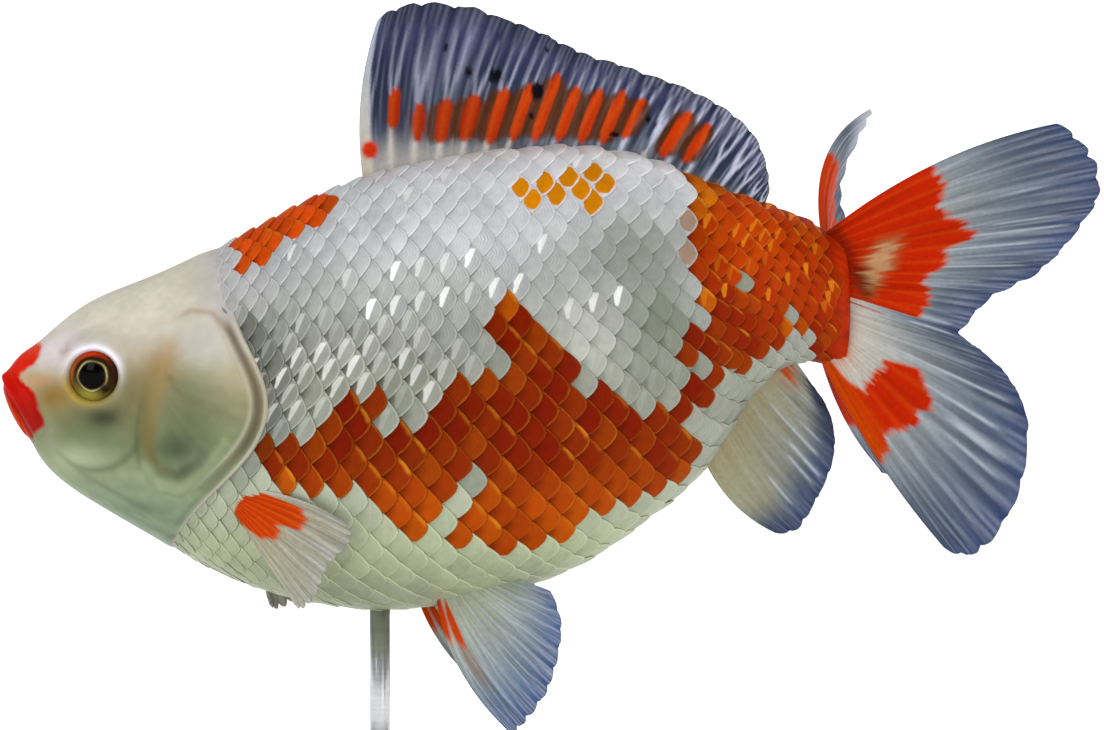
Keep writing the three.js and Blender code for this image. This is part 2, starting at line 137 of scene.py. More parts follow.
class Spline:
    """Natural cubic spline through rows of values at rising knots, as the solids use."""

    def __init__(self, knots, rows):
        self.knots = np.asarray(knots, float)
        self.rows = np.asarray(rows, float)
        gaps = np.diff(self.knots)
        slopes = np.diff(self.rows, axis=0) / gaps[:, None]
        matrix = np.eye(len(self.knots))
        turns = np.zeros_like(self.rows)
        for i in range(1, len(self.knots) - 1):
            matrix[i, i - 1:i + 2] = gaps[i - 1], 2 * (gaps[i - 1] + gaps[i]), gaps[i]
            turns[i] = 6 * (slopes[i] - slopes[i - 1])
        self.bends = np.linalg.solve(matrix, turns)

    def __call__(self, at):
        at = np.asarray(at, float)
        i = np.clip(np.searchsorted(self.knots, at) - 1, 0, len(self.knots) - 2)
        span = (self.knots[i + 1] - self.knots[i])[..., None]
        right = (at - self.knots[i])[..., None] / span
        left = 1 - right
        curve = (left**3 - left) * self.bends[i] + (right**3 - right) * self.bends[i + 1]
        return left * self.rows[i] + right * self.rows[i + 1] + curve * span**2 / 6


def smooth(value, low, high):
    """0 at low, 1 at high, with a soft start and end."""
    share = np.clip((value - low) / (high - low), 0, 1)
    return share * share * (3 - 2 * share)


def smooth_down(value, high, low):
    """0 at high, 1 at low, with a soft start and end."""
    return 1 - smooth(value, low, high)


def hump(value, middle, width):
    """1 at middle, falling away on both sides like a bell."""
    return np.exp(-(((value - middle) / width) ** 2))


# Large primes that scramble a cell's place into a random number.
CELL_PRIMES = (73856093, 19349663, 83492791)
STIR_PRIME = 1274126177


def cloud(points, size, seed=0):
    """Smooth random values from -1 to 1, in lumps about size across."""
    cells = np.asarray(points) / size + 17.3 * seed
    low = np.floor(cells).astype(np.int64)
    share = smooth(cells - low, 0, 1)
    total = np.zeros(cells.shape[:-1])
    for corner in np.ndindex(2, 2, 2):
        x, y, z = np.moveaxis((low + corner) * CELL_PRIMES, -1, 0)
        code = x ^ y ^ z
        code = (code ^ (code >> 13)) * STIR_PRIME
        value = ((code ^ (code >> 16)) & 65535) / 32767.5 - 1
        total += value * np.prod(np.where(corner, share, 1 - share), axis=-1)
    return total


def flat_cloud(first, second, seed):
    """The same from two running numbers, in lumps about 1 across."""
    return cloud(np.stack([first, second, 0 * first], -1), 1.0, seed)


def line_distance(x, z, points):
    """Distance in the side view to a line through points, and how far along it, from 0 to 1."""
    best = np.full(np.shape(x), 1e9)
    place = np.zeros(np.shape(x))
    steps = len(points) - 1
    for i, ((ax, az), (bx, bz)) in enumerate(zip(points, points[1:])):
        length = (bx - ax) ** 2 + (bz - az) ** 2
        share = np.clip(((x - ax) * (bx - ax) + (z - az) * (bz - az)) / length, 0, 1)
        distance = np.hypot(x - ax - share * (bx - ax), z - az - share * (bz - az))
        nearer = distance < best
        best = np.where(nearer, distance, best)
        place = np.where(nearer, (i + share) / steps, place)
    return best, place


def stroke(x, z, points, half_width):
    """A soft line of the side view through points, 1 along its middle."""
    return hump(line_distance(x, z, points)[0], 0, half_width)


def dot(x, z, place, radius):
    """A soft round spot of the side view, 1 at its place."""
    return hump(np.hypot(x - place[0], z - place[1]), 0, radius)


def oval(x, z, mark):
    """Distance from an ellipse's middle, 1 on its outline; mark is its centre and its two radii."""
    middle_x, middle_z, radius_x, radius_z = mark
    return np.hypot((x - middle_x) / radius_x, (z - middle_z) / radius_z)


def ellipse(x, z, mark, soft=0.15):
    """1 inside an ellipse of the side view."""
    return 1 - smooth(oval(x, z, mark), 1 - soft, 1 + soft)


def inside(x, z, outline):
    """Whether places of the side view lie inside a closed outline."""
    crossings = np.zeros(np.shape(x), int)
    for (ax, az), (bx, bz) in zip(outline, outline[1:] + outline[:1]):
        if az != bz:
            level = (z >= min(az, bz)) & (z < max(az, bz))
            crossings += level & (x < ax + (z - az) * (bx - ax) / (bz - az))
    return crossings % 2 == 1


def outline_share(x, z, outline, soft):
    """1 inside a closed outline of the side view, fading over soft on both sides of its line."""
    distance, _ = line_distance(x, z, outline + outline[:1])
    return smooth(np.where(inside(x, z, outline), distance, -distance), -soft, soft)


def tone(red, green, blue):
    """A colour from its display values, 0 to 255, as the linear ones that shaders use."""
    share = np.array([red, green, blue]) / 255
    return np.where(share <= 0.04045, share / 12.92, ((share + 0.055) / 1.055) ** 2.4)


def paint(base, mask, colour):
    """Lays a colour over others as far as the mask says, from 0 to 1."""
    return base + np.asarray(mask)[..., None] * (colour - base)


def coat(base, strokes):
    """Paints stroke after stroke, each a mask and a display colour or an array of colours."""
    for mask, colour in strokes:
        base = paint(base, mask, tone(*colour) if isinstance(colour, tuple) else colour)
    return base


def paint_areas(base, x, z, areas, share=1.0):
    """Paints soft areas of the side view, each a centre, two radii, a strength and a colour."""
    for *mark, strength, colour in areas:
        base = paint(base, strength * hump(oval(x, z, mark), 0, 0.85) * share, tone(*colour))
    return base


def blend_stops(value, stops):
    """Colours between stops, each a value and its display colour."""
    places = [place for place, _ in stops]
    channels = np.array([tone(*colour) for _, colour in stops]).T
    return np.stack([np.interp(value, places, channel) for channel in channels], -1)


# ---- The body's surface ----
stations = [(row[0] + row[2]) / 2 for row in SECTIONS]
section = Spline(stations, SECTIONS)
gill_spline = Spline([z for z, _ in GILL_LINE], [[x] for _, x in GILL_LINE])
LENGTH_PER_ALONG = (stations[-1] - stations[0]) / (1 - 2 * CAP_SHARE)


def sway(x):
    return SWAY * np.maximum(0, np.asarray(x) - SWAY_START) ** 2


def gill_x(z):
    return gill_spline(z)[..., 0]


def body_point(along, angle):
    """Points of the body's surface: along runs 0 to 1 from the mouth to the tail root, and angle
    goes from the back line down the fish's right side."""
    front = np.minimum(1, along / CAP_SHARE)
    rear = np.minimum(1, (1 - along) / CAP_SHARE)
    run = np.clip((along - CAP_SHARE) / (1 - 2 * CAP_SHARE), 0, 1)
    places = section(stations[0] + run * (stations[-1] - stations[0]))
    back_x, back_z, belly_x, belly_z, half = np.moveaxis(places, -1, 0)
    tall = np.hypot(back_x - belly_x, back_z - belly_z) / 2
    up_x, up_z = (back_x - belly_x) / (2 * tall), (back_z - belly_z) / (2 * tall)
    close = np.sin(np.minimum(front, rear) * math.pi / 2)
    sine, cosine = np.sin(angle), np.cos(angle)
    power = np.where(cosine > 0, BACK_POWER, BELLY_POWER)
    rise = tall * close * (cosine - SAG * sine**2)
    dome = NOSE_DOME * np.cos(front * math.pi / 2) - TAIL_DOME * np.cos(rear * math.pi / 2)
    x = (back_x + belly_x) / 2 + up_x * rise - up_z * dome
    z = (back_z + belly_z) / 2 + up_z * rise + up_x * dome
    y = close * half * np.sign(sine) * np.abs(sine) ** power + sway(x)
    return np.stack(np.broadcast_arrays(x, y, z), -1)


def unit(vectors):
    return vectors / np.maximum(np.linalg.norm(vectors, axis=-1, keepdims=True), 1e-9)


# Steps along and round the body between which its slopes are measured.
ALONG_STEP = 2e-3
ANGLE_STEP = 0.03


def body_frame(along, angle):
    """Outward normal and rearward direction of the body's surface."""
    back = body_point(along + ALONG_STEP, angle) - body_point(along - ALONG_STEP, angle)
    down = body_point(along, angle + ANGLE_STEP) - body_point(along, angle - ANGLE_STEP)
    return unit(np.cross(back, down)), unit(back)


# ---- Meshes ----

def full_turn(steps):
    """Angles of a whole turn in equal steps, up to the one before the first comes again."""
    return np.arange(steps) / steps * 2 * math.pi


def grid_faces(rows, columns, closed=False):
    """Quads of a grid of points numbered row by row; closed joins the last column to the first."""
    last = columns if closed else columns - 1
    row, column = np.meshgrid(np.arange(rows - 1), np.arange(last), indexing="ij")
    ahead = (column + 1) % columns
    corners = [row * columns + column, row * columns + ahead]
    corners += [(row + 1) * columns + ahead, (row + 1) * columns + column]
    return np.stack(corners, -1).reshape(-1, 4)


def capped_faces(rings, steps):
    """Faces of a stack of closed rings, whose first and last rings each fan in to a pole. The
    poles are the two points after the rings'."""
    turn = np.arange(steps)
    ahead = (turn + 1) % steps
    last = (rings - 1) * steps
    return [
        grid_faces(rings, steps, closed=True),
        np.stack([np.full(steps, rings * steps), ahead, turn], -1),
        np.stack([np.full(steps, rings * steps + 1), last + turn, last + ahead], -1),
    ]


def place_object(name, data):
    """A new object in the scene."""
    made = bpy.data.objects.new(name, data)
    bpy.context.scene.collection.objects.link(made)
    return made


def opaque(colours):
    return np.concatenate([colours, np.ones((len(colours), 1))], -1)


# What each kind of mesh attribute calls its values.
FIELDS = {"FLOAT": "value", "FLOAT_VECTOR": "vector", "FLOAT_COLOR": "color"}


def store(mesh, kind, columns):
    """Keeps named values of one kind at a mesh's points."""
    for name, values in columns.items():
        values = np.asarray(values, float).ravel()
        mesh.attributes.new(name, kind, "POINT").data.foreach_set(FIELDS[kind], values)


def make_mesh(name, points, faces, unwrap=None, tints=None, values=None):
    """A smooth mesh object from points in the fish's frame. faces is a list of arrays, unwrap
    holds an array of map places for each of them, and values are numbers at the points."""
    points = np.asarray(points, float)
    volume = 0.0
    for group in faces:
        for i in range(1, group.shape[1] - 1):
            a, b, c = (points[group[:, k]] for k in (0, i, i + 1))
            volume += np.sum(a * np.cross(b, c))
    if volume < 0:
        faces = [group[:, ::-1] for group in faces]
        unwrap = [places[:, ::-1] for places in unwrap] if unwrap else None
    mesh = bpy.data.meshes.new(name)
    lifted = (points + [0, 0, AXIS_HEIGHT]) * MM
    mesh.from_pydata(lifted, [], [face for group in faces for face in group.tolist()])
    if unwrap:
        places = np.concatenate([group.reshape(-1, 2) for group in unwrap])
        mesh.uv_layers.new(name="OFBake").data.foreach_set("uv", places.ravel())
    if tints is not None:
        tint = mesh.color_attributes.new("tint", "FLOAT_COLOR", "POINT")
        tint.data.foreach_set("color", opaque(tints).ravel())
    store(mesh, "FLOAT", values or {})
    mesh.shade_smooth()
    return place_object(name, mesh)


def dress(piece, finish, slot, *nodes):
    """Gives a piece its material, its body and the solids that it stands for. Its slot is not used."""
    if piece.data.materials:
        piece.data.materials[0] = finish.material
    else:
        piece.data.materials.append(finish.material)
    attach(piece, "root")
    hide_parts(*nodes)


# ---- Shaders ----

class Value:
    """A shader socket that Python's operators work on."""

    def __init__(self, tree, socket):
        self.tree = tree
        self.socket = socket

    def __add__(self, other):
        return self.tree.math("ADD", self, other)

    def __sub__(self, other):
        return self.tree.math("SUBTRACT", self, other)

    def __rsub__(self, other):
        return self.tree.math("SUBTRACT", other, self)

    def __mul__(self, other):
        return self.tree.math("MULTIPLY", self, other)

    __radd__ = __add__
    __rmul__ = __mul__


class Tree:
    """A tree of nodes under construction."""

    def __init__(self, tree):
        self.tree = tree

    def feed(self, sockets, inputs):
        for key, value in inputs.items():
            if isinstance(value, Value):
                self.tree.links.new(value.socket, sockets[key])
            else:
                sockets[key].default_value = value

    def node(self, kind, settings, inputs, output=0):
        made = self.tree.nodes.new(kind)
        for key, value in settings.items():
            setattr(made, key, value)
        self.feed(made.inputs, inputs)
        return None if output is None else Value(self, made.outputs[output])

    def math(self, operation, *values):
        return self.node("ShaderNodeMath", {"operation": operation}, dict(enumerate(values)))


class Finish(Tree):
    """A material under construction, from the inputs of its shader that don't vary."""

    def __init__(self, name, inputs):
        self.material = bpy.data.materials.new(name)
        self.material.use_nodes = True
        super().__init__(self.material.node_tree)
        self.shade(inputs)

    def shade(self, inputs):
        self.feed(self.tree.nodes["Principled BSDF"].inputs, inputs)

    def attribute(self, name, output="Color"):
        return self.node("ShaderNodeAttribute", {"attribute_name": name}, {}, output)

    def number(self, name):
        return self.attribute(name, "Fac")

    def place(self):
        return self.node("ShaderNodeTexCoord", {}, {}, "Object")

    def stretched(self, scale):
        return self.node("ShaderNodeMapping", {}, {"Vector": self.place(), "Scale": scale})

    def noise(self, scale, detail=2.0, where=None):
        inputs = {"Vector": where or self.place(), "Scale": scale, "Detail": detail}
        return self.node("ShaderNodeTexNoise", {}, inputs, "Fac")

    def smooth(self, value, low, high):
        inputs = {"Value": value, "From Min": low, "From Max": high}
        return self.node("ShaderNodeMapRange", {"interpolation_type": "SMOOTHSTEP"}, inputs)

    def mix(self, share, first, second, mode="MIX"):
        settings = {"data_type": "RGBA", "blend_type": mode}
        colours = [(*c, 1) if isinstance(c, (tuple, list, np.ndarray)) else c for c in (first, second)]
        return self.node("ShaderNodeMix", settings, {0: share, 6: colours[0], 7: colours[1]}, 2)

    def shaded(self, colour, share, dark, light):
        """A colour made darker and lighter by a pattern from 0 to 1."""
        return self.mix(1, colour, self.mix(share, (dark,) * 3, (light,) * 3), "MULTIPLY")

    def bump(self, height, strength, distance):
        inputs = {"Height": height, "Strength": strength, "Distance": distance}
        return self.node("ShaderNodeBump", {}, inputs)


def skin_finish():
    """Wet, finely mottled flesh."""
    finish = Finish("skin", {"Specular IOR Level": 0.03, "Coat Weight": 0.03, "Coat Roughness": 0.15})
    lumps = finish.noise(450, 4)
    pores = finish.noise(2600, 2)
    finish.shade({
        "Base Color": finish.shaded(finish.attribute("tint"), lumps, 0.88, 1.10),
        "Roughness": 0.30 + 0.18 * lumps,
        "Normal": finish.bump(lumps + 0.4 * pores, 0.22, 0.0003),
    })
    return finish


def scale_finish():
    """Horny plates: darker where they slip under the row ahead, as painted shade, thin and pale at the
    free edge, which is lightened in part as a painted highlight, some with a pale crescent or a glint,
    both painted highlights, and some with a round spot of another colour."""
    finish = Finish("scales", {"Specular IOR Level": 0.02, "Coat Roughness": 0.12})
    colour_of, number, soft, mix = finish.attribute, finish.number, finish.smooth, finish.mix
    inward, fore, shine = number("inward"), number("fore"), number("shine")
    upper = number("across") * number("hand")
    grain = finish.noise(900, 3)
    cloudy = finish.noise(260, 3)
    wavy = inward + 0.16 * (grain - 0.5)
    # A pale crescent on the upper half of the free edge: a painted highlight.
    crescent = soft(wavy, 0.26, 0.10) * soft(upper, -0.05, 0.30) * soft(upper, 1.0, 0.6)
    thin = soft(wavy, 0.13, 0.02) * number("thin")
    ragged = 0.5 * (cloudy - 0.5)
    wide = number("spot_x") * (fore - 0.14 + ragged)
    high = number("spot_y") * (upper + ragged)
    above = soft(upper, -0.05, 0.05) * number("round_top")
    below = soft(upper, 0.05, -0.05) * number("round_foot")
    bare = soft(wide * wide + high * high, 0.86, 1.14) * (above + below)
    frayed = fore + 0.2 * (grain - 0.5)
    # A bright wedge on the exposed part: a painted highlight.
    glint = soft(frayed, -0.50, -0.38) * soft(0.55 * upper - frayed, -0.12, 0.0)
    glint = glint * soft(upper, -0.58, -0.44) * soft(upper, 0.70, 0.56)
    # The front, where the plate slips under the row ahead, takes a darker colour as painted shade.
    colour = mix(soft(wavy, 0.38, 1.0), colour_of("middle"), colour_of("front"))
    # The thin pale rim, lightened in part as a painted highlight, and the crescents take the rim colour.
    colour = mix(finish.math("MAXIMUM", thin, crescent * number("crescent")), colour, colour_of("rim"))
    colour = mix(bare, colour, colour_of("bare"))
    # Glints are painted highlights in the flash colour.
    colour = mix(glint * number("glint"), colour, colour_of("flash"))
    lines = finish.math("SINE", inward * 48 + 4 * grain)
    finish.shade({
        "Base Color": finish.shaded(colour, 0.6 * grain + 0.4 * cloudy, 0.72, 1.28),
        "Metallic": shine,
        "Coat Weight": 0.5 * shine,
        "Roughness": 0.28 + 0.24 * grain,
        "Normal": finish.bump(0.5 * lines + 2 * grain, 0.14, 0.0002),
    })
    return finish


def fin_finish():
    """Horny rays and thin clear skin between them."""
    finish = Finish("fin", {"Specular IOR Level": 0.02})
    grain = finish.noise(1500, 3)
    joints = finish.math("SINE", finish.number("reach") * 14)
    finish.shade({
        "Base Color": finish.shaded(finish.attribute("tint"), grain, 0.80, 1.16),
        "Alpha": finish.number("solid"),
        "Roughness": 0.36 + 0.2 * grain,
        "Normal": finish.bump(0.25 * joints * finish.number("ridge") + grain, 0.3, 0.00015),
    })
    return finish


def eye_finish():
    """A wet, clear eyeball with a flecked iris."""
    finish = Finish("eye", {"Specular IOR Level": 0.03, "Coat Weight": 0.045, "Coat Roughness": 0.03})
    fleck = finish.noise(2600, 3)
    colour = finish.shaded(finish.attribute("tint"), fleck, 0.7, 1.3)
    finish.shade({"Base Color": colour, "Roughness": 0.14 + 0.1 * fleck})
    return finish


def wood_finish():
    """Dark satin wood with a fine straight grain along the base."""
    finish = Finish("ebony", {"Coat Weight": 0.2, "Coat Roughness": 0.3})
    figure = finish.noise(60, 4, finish.stretched((0.12, 1, 1)))
    grain = finish.noise(700, 3, finish.stretched((0.04, 1, 1)))
    streaked = finish.smooth(figure + 0.35 * grain, 0.45, 0.95)
    finish.shade({
        "Base Color": finish.mix(streaked, (0.010, 0.008, 0.007), (0.050, 0.031, 0.021)),
        "Roughness": 0.28 + 0.25 * grain,
        "Normal": finish.bump(grain, 0.2, 0.0002),
    })
    return finish


def steel_finish():
    """Turned steel, brushed round its axis."""
    finish = Finish("steel", {"Metallic": 1.0})
    turned = finish.noise(1500, 3, finish.stretched((0.05, 0.05, 1)))
    finish.shade({
        "Base Color": finish.mix(turned, (0.42, 0.43, 0.44), (0.68, 0.69, 0.70)),
        "Roughness": 0.2 + 0.22 * turned,
        "Normal": finish.bump(turned, 0.15, 0.0001),
    })
    return finish


# ---- Markings, shared by the skin and the scales ----
RED_ORANGE = tone(126, 27, 0)
# Outlines of the larger orange markings in the side view.
FLANK_MARK = [
    (-16.8, -7.0), (-13.2, -4.4), (-8.4, -4.2), (-7.2, 0.4), (-3.9, 0.6), (-1.9, 1.0), (0.5, 0.2),
    (1.4, -4.2), (4.4, -3.6), (9.5, 1.9), (15.6, 3.2), (19.4, 6.4), (16.2, 10.8), (16.6, 14.0),
    (22.2, 14.6), (26.4, 9.4), (30.2, 2.6), (35.4, 1.6), (37.4, -1.0), (44.8, 0.4), (46.8, -4.6),
    (45.4, -9.4), (40.0, -14.0), (33.6, -15.8), (26.4, -19.4), (17.0, -21.4), (10.4, -20.8),
    (9.9, -17.6), (15.6, -9.6), (13.6, -8.6), (8.6, -14.6), (6.0, -19.2), (3.2, -18.0), (1.4, -13.8),
    (-10.6, -12.6), (-16.6, -9.6),
]
STEM_MARK = [
    (46.6, 32.5), (45.6, 27.4), (46.6, 20.3), (46.0, 17.0), (48.2, 14.6), (48.0, 11.6), (45.0, 11.0),
    (45.4, 7.8), (48.8, 7.4), (49.4, 3.9), (53.2, 3.9), (55.0, 7.6), (59.0, 7.0), (60.6, 11.8),
    (63.6, 10.2), (64.2, 5.0), (72.0, 2.0), (73.0, 34.0), (52.0, 36.0),
]
NAPE_MARK = [
    (-22.5, 23.8), (-20.4, 21.8), (-19.8, 19.6), (-17.6, 19.4), (-15.4, 22.2), (-11.2, 25.4), (-7.8, 27.0),
    (-6.4, 29.0), (-8.2, 33.5), (-23.0, 28.5),
]
OUTLINES = {"left": [FLANK_MARK, STEM_MARK, NAPE_MARK], "right": [STEM_MARK]}
# Rounder markings, each with its centre and its two radii.
ROUNDS = {
    "left": [(45.8, 5.2, 1.5, 2.6), (47.2, 1.4, 1.5, 3.0)],
    "right": [
        (-9.5, 4.2, 7.0, 6.2), (-2.5, -1.5, 5.0, 4.2), (15.0, -11.5, 11.5, 9.0), (27.5, -4.0, 8.0, 8.5),
        (33.0, 8.5, 5.2, 7.2), (24.0, 30.5, 5.5, 3.0), (44.5, 1.5, 5.5, 8.0), (-19.5, 24.8, 4.4, 3.6),
    ],
}
GAPS = {"left": [(53.2, 18.2, 1.3, 1.3)], "right": [(20.0, -9.0, 2.4, 2.6), (54.0, 12.0, 2.6, 2.4)]}
# Where the pale scales below the dorsal fin have amber spots.
AMBER = (27.0, 31.7, 7.4, 2.9)
# Soft areas of tone on the bare flank: centre, radii, strength and colour. The two dark
# grey-green ones on the rear flank are painted shade.
FLANK_AREAS = [
    # The areas at (37, 22) and (41, 13) are painted shade on the rear flank.
    (30.0, 11.0, 7.0, 7.0, 0.7, (184, 185, 176)), (37.0, 22.0, 9.5, 7.0, 0.9, (128, 131, 120)),
    (41.0, 13.0, 5.6, 8.6, 0.95, (116, 124, 108)), (-15.6, 8.4, 3.2, 3.4, 0.6, (122, 125, 124)),
    (57.0, 3.0, 8.0, 5.0, 0.6, (168, 174, 160)), (53.2, 18.2, 3.4, 3.4, 0.95, (140, 138, 124)),
]
# Rows of scales given painted glints, highlights painted on them.
GLINT_ROWS = [[(-4.0, 17.0), (24.0, 23.4)], [(-13.0, 11.0), (23.0, 18.2)], [(27.0, 13.0), (35.0, 15.4)]]
# Single scales of another colour: pale ones within the orange, and brown ones at its edge.
PALE_SCALES = {"left": [(13.6, -9.6), (60.6, 12.4), (18.0, 6.4), (53.6, 17.0)], "right": []}
RUSTY_SCALES = {"left": [(44.1, 26.4), (45.5, 22.6)], "right": []}
# How softly an orange marking's outline starts, in millimetres to each side.
PATCH_SOFTNESS = 1.2


def patch_share(x, z, side):
    """How far a place lies inside the orange markings: above 0.5 is orange."""
    share = np.zeros(np.shape(x))
    for outline in OUTLINES[side]:
        share = np.maximum(share, outline_share(x, z, outline, PATCH_SOFTNESS))
    for mark in ROUNDS[side]:
        share = np.maximum(share, ellipse(x, z, mark, 0.2))
    for mark in GAPS[side]:
        share = np.minimum(share, 1 - ellipse(x, z, mark, 0.2))
    return share


def flank_tone(x, z):
    """Colour of the unmarked flank: silver above, darker across the middle as a painted reflection of
    dark surroundings, shaded cream green on the belly.
    """
    flank = blend_stops(z, [
        (-31, (184, 192, 160)), (-20, (164, 172, 142)), (-8, (157, 161, 148)), (3, (140, 142, 130)),
        (11, (152, 154, 147)), (18, (174, 175, 176)), (28, (197, 198, 201)), (38, (210, 210, 212)),
    ])
    return paint_areas(flank, x, z, FLANK_AREAS)


# ---- Skin ----
# Rings of the skin on the head and behind it, and the steps round each.
HEAD_RINGS = 170
BODY_RINGS = 96
ROUND_STEPS = 320
# Heights of the two ends of the gill cover's free rear edge.
COVER_TOP = 12.5
COVER_FOOT = -22.5
# How deep the skin lies under the scales and under that edge, and how far scales reach over the nape.
COAT_DEPTH = 0.75
UNDERCUT = 1.1
NAPE_REACH = 3.4
# The plane of the closed mouth in the side view, and the height of the mouth's corner.
GAPE = {"normal": (0.845, 0.535), "place": -45.6, "corner_z": -5.6}
# Rear edge of the red mouth, the ovals of the cheek and the gill cover, and the groove between them.
LIP_EDGE = [
    (-49.6, -6.4), (-49.0, -4.9), (-48.7, -3.0), (-49.6, -0.8), (-51.2, 2.2), (-52.9, 3.8),
    (-50.8, 5.4), (-49.8, 8.6),
]
CHEEK = (-41.0, -1.6, 7.4, 7.6)
PREOPERCLE = [
    (-29.6, 8.0), (-30.6, 3.2), (-32.4, -2.6), (-32.8, -6.4), (-31.2, -9.6), (-28.4, -10.4),
    (-25.4, -8.6), (-23.2, -5.0),
]
OPERCLE = (-26.6, -1.6, 8.6, 8.6)
# A nostril's middle, and its two holes: the steps to each, its radius and its depth.
NOSTRIL = (-45.2, 7.6)
NOSTRIL_HOLES = [(-0.55, 0.1, 0.5, 0.75), (0.75, 0.25, 0.42, 0.55)]
# Lines of the side view: the crease at the throat, and three on the gill cover.
THROAT_CREASE = [(-30.4, -19.6), (-26.0, -19.0), (-21.6, -14.6)]
CHEEK_FOOT = [(-33.2, -9.0), (-30.6, -12.0), (-27.4, -12.0), (-24.0, -9.4), (-21.4, -5.4)]
COVER_FRECKLE = [(-29.3, 3.5), (-28.4, 2.0), (-26.3, -0.6)]
COVER_SHOULDER = [(-31.0, 10.8), (-27.0, 13.4), (-23.6, 13.0), (-21.4, 10.6)]
NAPE_TONE = tone(198, 193, 184)
# Nape scale colours: the front darker as painted shade, the rim paler, in part as a painted highlight.
NAPE_SCALES = {"middle": tone(178, 176, 178), "front": tone(160, 158, 158), "rim": tone(206, 204, 202)}
# Soft areas of colour on the sides of the head: centre, radii, strength and colour. Some are
# painted light and shade: the dark ones under the eye, and on the gill cover's dome a pale top
# down to a dark crescent at its foot.
HEAD_AREAS = [
    (-47.0, 7.6, 6.0, 3.8, 0.8, (220, 210, 216)), (-50.0, 3.2, 3.2, 1.3, 0.7, (200, 152, 108)),
    (-46.4, 1.0, 4.8, 3.0, 0.95, (136, 102, 34)), (-44.6, -2.8, 3.0, 2.8, 0.6, (108, 104, 62)),
    (-47.6, -5.0, 2.0, 2.6, 0.6, (140, 134, 116)),
    # Painted shade under the eye.
    (-40.6, -4.6, 7.0, 4.6, 0.85, (98, 110, 78)), (-39.2, -2.1, 3.6, 1.8, 0.9, (54, 56, 42)),
    (-43.6, -8.2, 5.2, 2.5, 0.8, (164, 174, 144)), (-35.6, 1.8, 3.0, 5.0, 0.75, (108, 102, 68)),
    (-33.4, -4.4, 2.2, 4.0, 0.7, (106, 102, 64)), (-30.8, 5.4, 3.6, 3.8, 0.85, (148, 114, 58)),
    (-32.8, 1.6, 2.2, 3.8, 0.6, (112, 94, 44)),
    # The gill cover's dome: a paler top as painted light, darker below, painted shade.
    (-25.4, 8.4, 5.6, 3.6, 0.85, (184, 181, 174)), (-27.2, 1.4, 5.2, 4.8, 0.8, (112, 118, 86)),
    (-26.4, -2.8, 5.6, 4.4, 0.7, (92, 102, 74)), (-28.4, -6.6, 4.6, 3.0, 0.85, (62, 74, 52)),
    (-33.6, -15.2, 5.0, 1.3, 0.5, (96, 110, 88)), (-26.6, -17.0, 4.6, 1.1, 0.5, (100, 114, 94)),
    # (-24.2, -10.4): painted shadow in the crescent under the gill cover's dome.
    (-25.0, 17.0, 5.0, 5.5, 0.55, (184, 176, 162)), (-24.2, -10.4, 3.8, 3.2, 0.75, (104, 116, 88)),
]
# Creases on the sides of the head, darkened with painted shade: half width, strength, colour and
# the line they follow.
HEAD_CREASES = [
    (0.40, 0.50, (70, 84, 56), [(-33.6, 0.3), (-34.2, -3.2), (-34.5, -6.8), (-33.9, -9.7)]),
    (0.45, 0.45, (92, 106, 82), [
        (-46.8, -7.1), (-43.1, -10.3), (-38.9, -12.6), (-34.3, -15.0), (-30.7, -16.2)]),
    (0.30, 0.35, (92, 106, 82), [(-33.4, -10.4), (-31.4, -12.6), (-28.4, -13.4), (-24.6, -12.0)]),
    (0.30, 0.30, (88, 100, 76), [(-37.5, -15.4), (-33.0, -18.2), (-28.6, -20.0)]),
]


def gill_along(angle):
    """The place along the body where the head ends, at each angle."""
    low = np.full(np.shape(angle), CAP_SHARE)
    high = np.full(np.shape(angle), 0.6)
    for _ in range(40):
        middle = (low + high) / 2
        point = body_point(middle, angle)
        behind = point[..., 0] > gill_x(point[..., 2])
        high = np.where(behind, middle, high)
        low = np.where(behind, low, middle)
    return (low + high) / 2


def cover_edge_share(z):
    """Where the gill cover's rear edge stands free of the body."""
    return smooth(z, COVER_TOP + 2.0, COVER_TOP - 1.5) * smooth(z, COVER_FOOT - 1.5, COVER_FOOT + 2.5)


def head_relief(x, z, to_gill):
    """Height of the head's own forms over the plain surface; to_gill is the distance ahead of
    the gill line."""
    cheek = oval(x, z, CHEEK)
    bulge = 0.45 * smooth_down(cheek, 1.20, 0.70) - 0.16 * hump(cheek, 1.12, 0.10)
    relief = bulge * smooth_down(z, 3, -4)
    groove, place = line_distance(x, z, PREOPERCLE)
    relief -= (0.14 + 0.30 * smooth(place, 0.35, 0.6)) * hump(groove, 0, 0.7)
    relief += 0.55 * np.clip(1 - oval(x, z, OPERCLE) ** 2, 0, 1) ** 1.5
    in_cover = smooth(z, -17, -13) * smooth_down(z, 14, 10) * smooth(x, -33, -30.5)
    relief += COVER_LIFT * in_cover
    band = in_cover * smooth(z, -17, -6)
    relief -= 0.24 * hump(to_gill, 2.3, 0.34) * band
    relief -= 0.16 * hump(to_gill, 1.3, 0.7) * band
    relief -= 0.22 * stroke(x, z, THROAT_CREASE, 0.5)
    relief += 0.32 * dot(x, z, NOSTRIL, 1.5)
    for step_x, step_z, radius, depth in NOSTRIL_HOLES:
        relief -= depth * dot(x - step_x, z - step_z, NOSTRIL, radius)
    return relief


def lip_x(z):
    """Rear edge of the red mouth at each height."""
    return LIP_SPLINE(z)[..., 0]


def beyond_gape(x, z):
    """How far a place lies beyond the closed gape, on the side of the upper lip."""
    normal_x, normal_z = GAPE["normal"]
    return normal_x * x + normal_z * z - GAPE["place"]


